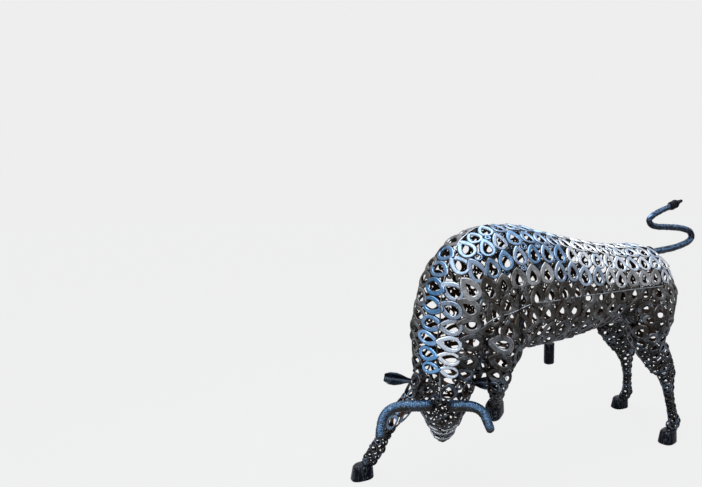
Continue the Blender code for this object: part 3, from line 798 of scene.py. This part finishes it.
def ring_shape(name, sides, hole_width, hole_height):
    """One plate ring of unit size, its face bevelled, its point up; "outside" marks face and edges."""
    bm = bmesh.new()
    outer = teardrop(sides, OUTLINE_PINCH, 1.0, 1.0)
    hole = teardrop(sides, HOLE_PINCH, hole_width, hole_height, HOLE_DROP)
    loops = []
    for way, z, outside in RING_SECTION:
        outline = [(a[0] + way * (b[0] - a[0]), a[1] + way * (b[1] - a[1]), z) for a, b in zip(outer, hole)]
        loops.append([bm.verts.new(point) for point in outline])
    bridge_loops(bm, loops, closed=True)
    obj = mesh_object(name, bm, sharp_over=42)
    carry(obj.data, "outside", [outside for way, z, outside in RING_SECTION for k in range(sides)])
    return obj


def bead_shape(name):
    """A lump of weld of unit size."""
    bm = bmesh.new()
    bmesh.ops.create_icosphere(bm, subdivisions=1, radius=0.5)
    return mesh_object(name, bm, sharp_over=80)


def eased(rows, value):
    """Value of a broken line given as pairs."""
    return float(np.interp(value, [row[0] for row in rows], [row[1] for row in rows]))


def is_long(ring):
    """Whether a ring is one of the long open ones of the stretched foreleg."""
    return ring.part == "fore_right" and LONG_RINGS[0] < ring.share < LONG_RINGS[1]


def shine_of(ring, luck):
    """Painted highlight of a ring: bright along the back, where the light falls, dark on flanks, face and
    legs.
    """
    if is_long(ring):
        return LONG_RING_SHINE * luck
    dark = DARK_SHINE * luck ** 3
    smallest = SMALLEST_BRIGHT_NECK if ring.share > NECK_SHARE else SMALLEST_BRIGHT
    if ring.part != "body" or ring.height < smallest:
        return dark
    reach = eased(BRIGHT_REACH_LEFT if ring.angle < 0 else BRIGHT_REACH_RIGHT, ring.share)
    past = (math.degrees(abs(ring.angle)) - reach) / BRIGHT_FADE + 0.5 * (luck - 0.5)
    return max(eased(BRIGHT_LEVEL, ring.share) * min(max(0.5 - past, 0.0), 1.0), dark)


trunk = Limb(TRUNK)
neck = Limb(NECK)
head = Limb(HEAD)
legs = {
    "hind_left": Limb(HIND_LEFT, HOOVES["hoof_hind_left"]),
    "hind_right": Limb(HIND_RIGHT, HOOVES["hoof_hind_right"]),
    "fore_left": Limb(FORE_LEFT, HOOVES["hoof_front_left"]),
    "fore_right": Limb(FORE_RIGHT, HOOVES["hoof_front_right"]),
}
skin = build_skin([trunk, neck, head, *legs.values()])
spine = Limb(
    TRUNK[1:7] + [station._replace(yaw=yaw) for station, yaw in zip(NECK[2:6], SEAM_YAWS)] + HEAD[2:])

roots = [
    (placed(TAIL[1]), 0.55 * TAIL_ROOT_DIAMETER),
    (placed(SHEATH_TOP), 0.52 * SHEATH_DIAMETER),
]
roots += [(placed(point), 0.5 * HORN_ROOT_DIAMETER) for point in HORN_RIGHT[:3] + HORN_LEFT[:3]]

field = RingField(skin, roots)
for middle, width, height in FACE_RINGS:
    place, normal, face, distance = field.tree.find_nearest(placed(middle))
    field.add(Ring(place, normal, Vector((0, 0, 1)), MODULE * width, MODULE * height, "face", 1.0, math.pi))
middle, width, depth, (along, side, under) = spine.at(spine.reach[-1])
field.add(Ring(
    middle + along * MUZZLE_RISE, along.copy(), -under, 2 * width, 2 * depth, "face", 1.0, math.pi))
for band in BODY_BANDS:
    field.cover("body", spine, *band, SPINE_TOLERANCE)
for part, limb in legs.items():
    for band in FORE_RIGHT_BANDS if part == "fore_right" else LEG_BANDS:
        field.cover(part, limb, *band, LEG_TOLERANCE)


def largest_fill(place):
    """Largest half width of a filling ring, smaller down the legs and on the face."""
    share = min(max((place[2] - LOW_FILL_HEIGHT) / LOW_FILL_BLEND, 0.0), 1.0)
    return 0.5 * (LARGEST_LOW_FILL + (LARGEST_FILL - LARGEST_LOW_FILL) * share)


field.fill(skin, largest_fill)


# Finishes
def shader_group(name, inputs, outputs):
    """Empty shader group: the tree, what it is given, and the inputs of its end node."""
    group = bpy.data.node_groups.new(name, "ShaderNodeTree")
    for label, kind, value in inputs:
        socket = group.interface.new_socket(label, in_out="INPUT", socket_type=kind)
        socket.default_value = value
    for label, kind in outputs:
        group.interface.new_socket(label, in_out="OUTPUT", socket_type=kind)
    build = Tree(group)
    return build, build.add("NodeGroupInput").outputs, build.add("NodeGroupOutput").inputs


def noise_of(build, scale, detail, source):
    return build.add("ShaderNodeTexNoise", {
        "Scale": scale, "Detail": detail, "Roughness": NOISE_ROUGHNESS, "Vector": source}).outputs["Fac"]


def mix_of(build, share, a, b):
    """Colour between two others, each a plain tint or the output that makes it."""
    tints = {index: (*tint, 1.0) if isinstance(tint, tuple) else tint for index, tint in ((6, a), (7, b))}
    return build.add("ShaderNodeMix", {0: share, **tints}, data_type="RGBA").outputs[2]


def steel_surface_group():
    """Ground steel: its dark and bright tints mixed by painted light and shade (by scratch streaks on hooves
    and tubes), with fine scratches, painted glint specks, painted glints on the edges and painted shade on
    the inside.
    """
    build, given, result = shader_group(
        "steel_surface",
        [("Position", "NodeSocketVector", (0, 0, 0)), ("Bright", "NodeSocketColor", (0.6, 0.6, 0.6, 1)),
         ("Dark", "NodeSocketColor", (0.05, 0.05, 0.05, 1)), ("Shine", "NodeSocketFloat", 0.5),
         ("Rough", "NodeSocketFloat", 0.35), ("Outside", "NodeSocketFloat", 0.8)],
        [("Colour", "NodeSocketColor"), ("Roughness", "NodeSocketFloat"), ("Height", "NodeSocketFloat")])
    place = given["Position"]
    patches = noise_of(build, PATCHES_PER_METRE, 4, place)
    grain = noise_of(build, GRAINS_PER_METRE, 3, place)
    scratch = noise_of(build, SCRATCHES_PER_METRE, 2, place)
    # Share of the bright tint: painted light and shade, but scratch streaks on the hooves and tubes, with
    # random patches
    painted_light_and_streak_share = math_of(build, "ADD", given["Shine"], span_of(build, patches, 0.3, 0.7, -0.16, 0.16))
    clean = mix_of(build, painted_light_and_streak_share, given["Dark"], given["Bright"])
    mottle = span_of(build, grain, 0.3, 0.7, 0.60, 1.30)
    tinted = build.add("ShaderNodeVectorMath", {0: clean, "Scale": mottle}, operation="SCALE").outputs[0]
    # Painted glint specks: small bright spots of light
    glint_specks = span_of(build, noise_of(build, GLINT_SPECKS_PER_METRE, 2, place), 0.62, 0.70, 0.0, 0.30)
    glint_speckled = mix_of(build, glint_specks, tinted, GLINT_SPECK_TINT)
    # Painted glints on the outer edges of the plates, dull on dark steel and bright on the painted highlight
    painted_edge_glint = math_of(
        build, "MULTIPLY", span_of(build, given["Outside"], 0.86, 1.0, 0.0, 1.0),
        span_of(build, patches, 0.45, 0.62, 0.02, 0.50))
    edged = mix_of(build, painted_edge_glint, glint_speckled, mix_of(build, painted_light_and_streak_share, DULL_EDGE_GLINT_TINT, BRIGHT_EDGE_GLINT_TINT))
    # Painted shade: the inside faces of the plates, in the hollow of the body, are dark brown
    inner = span_of(build, given["Outside"], 0.35, 0.75, 0.0, 1.0)
    build.link(mix_of(build, inner, INSIDE_SHADE_TINT, edged), result["Colour"])
    rough = math_of(build, "ADD", given["Rough"], span_of(build, grain, 0.3, 0.7, -0.08, 0.12))
    build.link(rough, result["Roughness"])
    height = math_of(
        build, "ADD", math_of(build, "MULTIPLY", grain, 0.7), math_of(build, "MULTIPLY", scratch, 0.3))
    build.link(height, result["Height"])
    return build.tree


steel_surface = steel_surface_group()


def steel_finish(name, bright, dark, rough, shine, bump, outside=None):
    """Material of steel with painted light and shade; a colour or mask is a plain value or the node that
    makes it.
    """
    mat = bpy.data.materials.new(name)
    mat.use_nodes = True
    build = Tree(mat.node_tree)
    shader = mat.node_tree.nodes["Principled BSDF"]
    place = build.add("ShaderNodeTexCoord").outputs["Object"]
    group = build.add("ShaderNodeGroup", node_tree=steel_surface)
    build.link(place, group.inputs["Position"])
    group.inputs["Rough"].default_value = rough
    for label, value in (("Bright", bright), ("Dark", dark), ("Shine", shine), ("Outside", outside)):
        if isinstance(value, tuple):
            group.inputs[label].default_value = (*value, 1.0)
        elif value is not None:
            build.link(value(build, place), group.inputs[label])
    build.link(group.outputs["Colour"], shader.inputs["Base Color"])
    build.link(group.outputs["Roughness"], shader.inputs["Roughness"])
    shader.inputs["Metallic"].default_value = 1.0
    relief = build.add("ShaderNodeBump", {
        "Strength": bump, "Distance": RELIEF_DEPTH, "Height": group.outputs["Height"]})
    build.link(relief.outputs["Normal"], shader.inputs["Normal"])
    return mat


def own_value(name):
    """Reads a value that the piece carries itself."""
    return lambda build, place: build.add("ShaderNodeAttribute", attribute_name=name).outputs["Fac"]


def two_tints(warm, cool):
    """From the warm tint to the cool one, ring by ring."""
    return lambda build, place: mix_of(build, own_value("tone")(build, place), warm, cool)


def upward(build, place):
    """Brighter where a bar faces the sky."""
    normal = build.add("ShaderNodeNewGeometry").outputs["Normal"]
    split = build.add("ShaderNodeSeparateXYZ", {0: normal})
    return span_of(build, split.outputs["Z"], -0.05, 0.50, 0.0, 1.0)


def streaks(build, place):
    """Long scratches along the height."""
    squeezed = build.add("ShaderNodeMapping", {"Scale": (1.0, 1.0, 0.10), "Vector": place})
    noise = noise_of(build, STREAKS_PER_METRE, 2, squeezed.outputs["Vector"])
    return span_of(build, noise, 0.46, 0.66, 0.0, 1.0)


def welded_upward(build, place):
    """Brighter on the lumps of weld that face the sky, and black in the pits between them as painted shade.
    """
    lump = own_value("lump")(build, place)
    return math_of(build, "MULTIPLY", upward(build, place), span_of(build, lump, 0.0, 0.8, 0.0, 1.0))


# Finishes: brightest and darkest tint, roughness, what makes it bright, and depth of the relief; what makes
# it bright is painted light, but scratch streaks on the hooves and tubes
# Rings and beads: the bright tints, white to sky blue, are a painted highlight and painted sky reflection;
# the dark tints turn from brown-grey to a darker navy lower down, a painted shade
RING_STEEL = steel_finish(
    "ring_steel_painted_light", two_tints((0.90, 0.92, 0.94), (0.17, 0.42, 0.76)),
    two_tints((0.056, 0.049, 0.041), (0.013, 0.014, 0.017)), 0.30, own_value("shine"), 0.35,
    own_value("outside"))
WELD_STEEL = steel_finish(
    "weld_bead_steel", two_tints((0.70, 0.72, 0.74), (0.20, 0.36, 0.60)),
    two_tints((0.060, 0.052, 0.043), (0.014, 0.015, 0.018)), 0.36, own_value("shine"), 0.4)
SEAM_STEEL, BAND_STEEL, HORN_STEEL, TAIL_STEEL, HOOF_STEEL, SHEET_STEEL, TUBE_STEEL = (
    steel_finish(*values) for values in (
        ("seam_rod_steel", (0.42, 0.44, 0.47), (0.05, 0.05, 0.05), 0.32, upward, 0.3),
        ("face_band_steel", (0.70, 0.72, 0.75), (0.12, 0.12, 0.12), 0.28, upward, 0.3),
        ("horn_bar_steel", (0.09, 0.18, 0.31), (0.036, 0.031, 0.024), 0.36, welded_upward, 0.5),
        ("tail_bar_steel", (0.11, 0.20, 0.34), (0.022, 0.026, 0.034), 0.30, welded_upward, 0.5),
        ("hoof_black_steel", (0.060, 0.062, 0.066), (0.006, 0.008, 0.012), 0.32, streaks, 0.8),
        ("ear_sheet_steel", (0.16, 0.20, 0.25), (0.007, 0.010, 0.015), 0.20, own_value("fold"), 0.3),
        ("tube_dark_steel", (0.030, 0.034, 0.040), (0.009, 0.010, 0.012), 0.34, streaks, 0.4)))

# Rings
scatter = scatter_tree()
chance = random.Random(7)
blanks = {kind: ring_shape(kind + "blank", *sizes) for kind, sizes in BLANKS.items()}
bead_blank = bead_shape("bead_blank")


def tone_of(ring, shine):
    """0 for the warm tints and 1 for the cool: white to sky blue if bright, a painted highlight and painted
    sky reflection; brown-grey to navy if dark, darker and cooler lower down as painted shade.
    """
    luck = chance.random()
    if ring.part == "body" and ring.height < SMALLEST_BRIGHT and abs(ring.angle) < TOP_TURN:
        tone = 1.0
    elif shine < CLEARLY_BRIGHT:
        # Painted shade: the lower a dark ring sits, the darker and cooler its tint
        depth = (DARK_WARM_HEIGHT - ring.place.z) / DARK_COOL_DROP + 0.55 * (luck - 0.3)
        tone = 0.75 * min(max(depth, 0.0), 1.0)
    elif ring.share > NECK_TONES and ring.angle > 0:
        tone = 0.80 + 0.3 * luck
    elif ring.share > NECK_TONES:
        tone = 0.35 * luck + 6.0 * max(0.70 - ring.share, 0.0)
    elif ring.share > HUMP_TONES:
        tone = 0.50 + 0.40 * luck
    else:
        tone = 0.50 * luck ** 2
    return min(max(tone, 0.0), 1.0)


def ring_kind(ring, shine):
    """The blank a ring is made from, and its overlap."""
    open_side = ring.angle > FAR_SIDE_TURN or (ring.share > THROAT_SHARE and abs(ring.angle) > THROAT_TURN)
    if ring.height < SMALL_RING:
        return "small_rings_", SMALL_OPEN_OVERLAP if shine > CLEARLY_BRIGHT else CLOSED_OVERLAP
    if ring.part == "face":
        return "face_rings_", FACE_OVERLAP
    if shine > CLEARLY_BRIGHT or is_long(ring):
        return "rings_", OPEN_OVERLAP
    if ring.part == "body" and open_side:
        return "wide_rings_", OPEN_OVERLAP
    return "tight_rings_", CLOSED_OVERLAP


def ring_spot(ring):
    shine = shine_of(ring, chance.random())
    kind, overlap = ring_kind(ring, shine)
    thickness = min(PLATE, PLATE_SHARE * ring.height)
    inset = PLATE_INSET if ring.height > DEEP_RING else SMALL_INSET_SHARE * thickness
    return kind, Spot(
        ring.place - ring.normal * inset, facing(ring.normal, ring.up),
        (overlap[0] * ring.width, overlap[1] * ring.height, thickness), shine, tone_of(ring, shine))


groups = {}
spot_of = {}
for ring in field.rings:
    kind, spot = ring_spot(ring)
    spot_of[ring] = spot
    groups.setdefault(kind + ring.part, []).append(spot)
for seed, (name, spots) in enumerate(sorted(groups.items())):
    blank = next(shape for kind, shape in blanks.items() if name.startswith(kind))
    piece = run_tree(marked_points(name + "_points", spots), scatter, {
        "Shape": blank, "Tilt": RING_TILT, "Seed": seed, "Finish": RING_STEEL}, name)
    hand_in(piece, "ring_steel", "ring_shell")

# Weld beads where two rings meet
beads = []
for ring in field.rings:
    for other in field.near(ring.place):
        gap = (other.place - ring.place).length
        far_side = other.normal.dot(ring.normal) < BEAD_SAME_WAY
        if other is ring or tuple(other.place) < tuple(ring.place) or far_side:
            continue
        ring_radius, other_radius = mean_radius(ring), mean_radius(other)
        if gap < BEAD_REACH * (ring_radius + other_radius):
            place = ring.place.lerp(other.place, ring_radius / (ring_radius + other_radius))
            normal = (ring.normal + other.normal).normalized()
            size = BEAD_SIZE * min(1.0, min(ring_radius, other_radius) / FULL_BEAD_RADIUS)
            size *= BEAD_SPREAD[0] + (BEAD_SPREAD[1] - BEAD_SPREAD[0]) * chance.random()
            beads.append(Spot(
                place - normal * PLATE_INSET, facing(normal, other.place - ring.place),
                tuple(size * share for share in BEAD_SHAPE),
                BEAD_SHINE * (spot_of[ring].shine + spot_of[other].shine), spot_of[ring].tone))
bead_piece = run_tree(marked_points("bead_points", beads), scatter, {
    "Shape": bead_blank, "Tilt": BEAD_TILT, "Seed": 40, "Finish": WELD_STEEL}, "weld_beads")
hand_in(bead_piece, "ring_steel", "ring_shell")

# Horns, tail, seams and sheath
sweep = bar_tree()


def tapered(points, root_diameter, tip_diameter):
    """A bar along a table of places, growing thinner evenly."""
    line = [placed(row) for row in smooth_line(points, BAR_STEPS)]
    last = len(line) - 1
    return [(point, 0.5 * (root_diameter * (1 - k / last) + tip_diameter * k / last))
            for k, point in enumerate(line)]


def with_round_tip(line):
    """The line carried on into a rounded end."""
    point, radius = line[-1]
    along = (point - line[-2][0]).normalized()
    turns = [math.radians(turn) for turn in ROUND_TIP_TURNS]
    tip = radius * ROUND_TIP_SHARE
    return line + [(point + along * (tip * math.sin(turn)), radius * math.cos(turn)) for turn in turns]


def bar_piece(name, lines, weld, finish, slot, node):
    """A finished piece of bars swept along lines, with the relief that its weld gives it."""
    piece = run_tree(bar_line(name + "_line", lines), sweep, {
        "Ripple pitch": weld.pitch, "Ripple height": weld.height, "Step": weld.step, "Sides": weld.sides,
        "Lump scale": weld.lump_scale, "Lump height": weld.lump_height, "Finish": finish}, name)
    piece.data.shade_smooth()
    hand_in(piece, slot, node)


for name, table in (("horn_right", HORN_RIGHT), ("horn_left", HORN_LEFT)):
    horn_line = with_round_tip(tapered(
        table, HORN_ROOT_DIAMETER - 2 * HORN_WELD.height, HORN_TIP_DIAMETER - 2 * HORN_WELD.height))
    bar_piece(name + "_welded", [horn_line], HORN_WELD, HORN_STEEL, "bar_steel", name)
tail_line = tapered(TAIL, TAIL_ROOT_DIAMETER, TAIL_TIP_DIAMETER)
bar_piece("tail_bar_bent", [tail_line], TAIL_WELD, TAIL_STEEL, "bar_steel", "tail_bar")


def profile_at(profile, share):
    """Value of a profile, spread evenly from end to end, at a share of its length."""
    place = share * (len(profile) - 1)
    index = min(int(place), len(profile) - 2)
    return profile[index] + (profile[index + 1] - profile[index]) * (place - index)


def tuft_radius(share):
    return 0.5 * TUFT_DIAMETER * profile_at(TUFT_PROFILE, share)


tuft_start = placed(TAIL[-1])
tuft_along = Vector(TUFT_DIRECTION).normalized()
tuft_side = tuft_along.orthogonal().normalized()
tuft_up = tuft_along.cross(tuft_side)
winding = []
for step in range(WINDING_STEPS + 1):
    share = step / WINDING_STEPS
    turn = 2 * math.pi * TUFT_TURNS * share
    radius = max(tuft_radius(share) - TUFT_WIRE, 0.001)
    centre = tuft_start + tuft_along * (TUFT_WIRE + share * (TUFT_LENGTH - 2 * TUFT_WIRE))
    winding.append((centre + (tuft_side * math.cos(turn) + tuft_up * math.sin(turn)) * radius, TUFT_WIRE))
core = []
for step in range(CORE_STEPS + 1):
    share = step / CORE_STEPS
    core.append((tuft_start + tuft_along * (TUFT_LENGTH * share), max(tuft_radius(share) - TUFT_WIRE, 0.002)))
bar_piece("tail_tuft_wound", [winding, core], TUFT_WELD, TUBE_STEEL, "dark_steel", "tail_tuft")


def rods(spots, rise, diameter):
    """Rods through spots of the skin, each a place and a normal, broken where a spot is missing."""
    lines, line = [], []
    for spot in [*spots, None]:
        if spot is not None:
            line.append((spot[0] + spot[1] * rise, 0.5 * diameter))
        else:
            if len(line) >= SHORTEST_ROD:
                lines.append(line)
            line = []
    return lines


def seam(angle, start, stop, rise, diameter):
    """Rod laid on the skin along the spine."""
    length = spine.reach[-1]
    return rods([
        field.surface(spine, length * (start + (stop - start) * k / SEAM_STEPS), angle, SPINE_TOLERANCE)
        for k in range(SEAM_STEPS + 1)], rise, diameter)


def hoop(share, half_turn, rise, diameter):
    """Rod laid on the skin across the front of the spine, as far to each side."""
    spots = [
        field.surface(spine, spine.reach[-1] * share, half_turn * (2 * k / HOOP_STEPS - 1), SPINE_TOLERANCE)
        for k in range(HOOP_STEPS + 1)]
    return rods([spot for spot in spots if spot is not None], rise, diameter)


def laid(points, rise, diameter):
    """Rod laid on the skin along a table of places."""
    return rods([
        field.tree.find_nearest(placed(row))[:2] for row in smooth_line(points, ROD_STEPS)], rise, diameter)


seams = seam(0.0, 0.0, 0.56, -0.003, SEAM_DIAMETER) + seam(0.0, 0.56, 0.85, 0.003, NECK_SEAM_DIAMETER)
shoulder_lines = []
for side in (-1, 1):
    seams += laid([(x, -side * y, z) for x, y, z in FLANK_ROD], -0.001, FLANK_ROD_DIAMETER)
    for shift in (-SHOULDER_ROD_SHIFT, SHOULDER_ROD_SHIFT):
        shoulder_lines += laid(
            [(x + shift, -side * y, z) for x, y, z in SHOULDER_RODS], 0.0, SHOULDER_ROD_DIAMETER)
face_bands = []
for share, reach in FACE_BANDS:
    face_bands += hoop(share, math.radians(reach), 0.001, FACE_BAND_DIAMETER)
bar_piece("face_bands", face_bands, BAND_WELD, BAND_STEEL, "ring_steel", "ring_shell")
bar_piece("seam_rods", seams, ROD_WELD, SEAM_STEEL, "ring_steel", "ring_shell")
bar_piece("shoulder_rods", shoulder_lines, ROD_WELD, TUBE_STEEL, "ring_steel", "ring_shell")

sheath_top = placed(SHEATH_TOP)
sheath_line = [
    (sheath_top - Vector((0, 0, SHEATH_LENGTH * share)), 0.5 * SHEATH_DIAMETER * scale)
    for share, scale in SHEATH_SECTIONS]
bar_piece("sheath_tube", [sheath_line], TUBE_WELD, TUBE_STEEL, "dark_steel", "sheath")


# Hooves
def hoof_outline(height, scale, setback):
    """Blunt oval of one level, with the small uneven flats that a chisel leaves."""
    outline = []
    for k in range(HOOF_SIDES):
        angle = 2 * math.pi * (k + 0.5) / HOOF_SIDES
        forward = math.copysign(abs(math.cos(angle)) ** HOOF_SQUARENESS, math.cos(angle))
        across = math.copysign(abs(math.sin(angle)) ** HOOF_SQUARENESS, math.sin(angle))
        ridge = 1.0 - HOOF_RIDGE * (k % 2) - HOOF_UNEVENNESS * ((k * 7) % 5) / 4
        outline.append(Vector((
            setback - 0.5 * HOOF_LENGTH * scale * ridge * forward,
            0.5 * HOOF_WIDTH * scale * ridge * across, height)))
    return outline


def hoof(name, placing):
    matrix = hoof_matrix(placing)
    bm = bmesh.new()
    loops = []
    for share, scale, setback in HOOF_LEVELS:
        outline = hoof_outline(share * HOOF_HEIGHT, scale, setback * HOOF_LENGTH)
        loops.append([bm.verts.new(matrix @ point) for point in outline])
    bridge_loops(bm, loops)
    piece = mesh_object(name + "_block", bm, sharp_over=45)
    piece.data.materials.append(HOOF_STEEL)
    hand_in(piece, "dark_steel", name)


for name, placing in HOOVES.items():
    hoof(name, placing)


# Ears
def fold_light(off_middle):
    """Painted highlight along the fold and toward the upper edge of an ear."""
    fold = max(0.0, 1 - abs(off_middle - FOLD_AT) / FOLD_WIDTH)
    rim = max(0.0, (off_middle - RIM_AT) / FOLD_WIDTH)
    return FOLD_SHINE * fold + RIM_SHINE * rim


def ear(name, table):
    start = placed(table[0])
    along = Vector(table[1]).normalized()
    across = along.cross(Vector(EAR_FACING)).normalized()
    front = across.cross(along)
    bm = bmesh.new()
    rows = []
    for step in range(EAR_ROWS + 1):
        t = step / EAR_ROWS
        half = 0.5 * EAR_WIDTH * profile_at(EAR_PROFILE, t)
        middle = start + along * (t * (EAR_LENGTH + ROOT_DEPTH) - ROOT_DEPTH)
        row = []
        for k in range(EAR_COLUMNS + 1):
            share = 2 * k / EAR_COLUMNS - 1
            raised = share ** 2 - FOLD_DEPTH * max(0.0, 1 - abs(share) / FOLD_SHARE)
            fold = front * (EAR_CUP * half * raised)
            row.append(bm.verts.new(middle + across * (EAR_TRIM * half * share) + fold))
        rows.append(row)
    for row, following in zip(rows, rows[1:]):
        for j in range(len(row) - 1):
            bm.faces.new((row[j], row[j + 1], following[j + 1], following[j]))
    piece = mesh_object(name + "_leaf", bm, sharp_over=60)
    sheet = piece.modifiers.new("sheet", "SOLIDIFY")
    sheet.thickness = EAR_SHEET
    sheet.offset = 0.0
    round_edges = piece.modifiers.new("round_edges", "BEVEL")
    round_edges.width = EAR_EDGE
    round_edges.segments = 2
    piece = settled(piece, name + "_sheet")
    # Painted highlight of the fold and the upper rim, for the ear's finish
    carry(piece.data, "fold", [
        fold_light((vert.co - start).dot(across) / EAR_WIDTH) for vert in piece.data.vertices])
    piece.data.materials.append(SHEET_STEEL)
    hand_in(piece, "dark_steel", name)


for name, table in EARS.items():
    ear(name, table)

for blank in (*blanks.values(), bead_blank):
    bpy.data.objects.remove(blank)

# Floor, light and camera
FLOOR_HALF = 30
FLOOR_DROP = -0.001
PALE = (0.855, 0.855, 0.855, 1.0)
FLOOR_GLOW = (0.879, 0.879, 0.879, 1.0)
floor_mesh = bpy.data.meshes.new("floor")
floor_mesh.from_pydata(
    [(x * FLOOR_HALF, y * FLOOR_HALF, FLOOR_DROP) for x, y in ((-1, -1), (1, -1), (1, 1), (-1, 1))], [],
    [(0, 1, 2, 3)])
floor = new_object("floor", floor_mesh)
paper = bpy.data.materials.new("pale_floor")
paper.use_nodes = True
build = Tree(paper.node_tree)
matt = paper.node_tree.nodes["Principled BSDF"]
matt.inputs["Base Color"].default_value = (0.5, 0.5, 0.5, 1.0)
matt.inputs["Roughness"].default_value = 0.9
glow = build.add("ShaderNodeEmission", {"Color": FLOOR_GLOW})
seen = build.add("ShaderNodeLightPath").outputs["Is Camera Ray"]
share = build.add("ShaderNodeMixShader", {
    0: span_of(build, seen, 0.0, 1.0, 0.0, 0.94), 1: matt.outputs[0], 2: glow.outputs[0]})
build.link(share.outputs[0], paper.node_tree.nodes["Material Output"].inputs["Surface"])
floor_mesh.materials.append(paper)

world = bpy.data.worlds.new("studio")
bpy.context.scene.world = world
world.use_nodes = True
build = Tree(world.node_tree)
backdrop = world.node_tree.nodes["Background"]
backdrop.inputs["Color"].default_value = PALE
height = build.add("ShaderNodeSeparateXYZ", {0: build.add("ShaderNodeTexCoord").outputs["Generated"]})
sky_share = span_of(build, height.outputs["Z"], -0.35, 0.55, 0.0, 1.0)
sky_colour = mix_of(build, sky_share, (0.22, 0.21, 0.20), (0.98, 1.02, 1.10))
sky = build.add("ShaderNodeBackground", {"Color": sky_colour})
seen = build.add("ShaderNodeLightPath").outputs["Is Camera Ray"]
share = build.add("ShaderNodeMixShader", {0: seen, 1: sky.outputs[0], 2: backdrop.outputs[0]})
build.link(share.outputs[0], world.node_tree.nodes["World Output"].inputs["Surface"])


def soft_box(name, place, aim, size, power, colour):
    light = bpy.data.lights.new(name, "AREA")
    light.shape = "RECTANGLE"
    light.size, light.size_y = size
    light.energy = power
    light.color = colour
    lamp = new_object(name, light)
    lamp.location = place
    lamp.rotation_euler = (Vector(aim) - Vector(place)).to_track_quat("-Z", "Y").to_euler()


soft_box("overhead", (-0.5, 0.2, 4.2), (0, 0, 0.9), (4.0, 2.5), 120, (0.86, 0.93, 1.0))
soft_box("front", (-4.2, -1.0, 2.4), (-0.6, 0, 0.9), (2.0, 2.0), 40, (0.86, 0.93, 1.0))

camera = bpy.data.cameras.new("camera")
camera.sensor_width = 36.0
camera.lens = 27.54
camera.shift_x = -0.2165
camera.shift_y = 0.0705
camera.clip_start = 0.05
view_point = new_object("camera", camera)
azimuth, pitch = math.radians(-32), math.radians(10.6)
view_point.location = ORIGIN + Vector((-2.0204, -2.5611, 1.60))
level = math.cos(pitch)
looking = Vector((-math.sin(azimuth) * level, math.cos(azimuth) * level, -math.sin(pitch)))
view_point.rotation_euler = looking.to_track_quat("-Z", "Y").to_euler()
bpy.context.scene.camera = view_point
bpy.context.scene.view_settings.view_transform = "Standard"
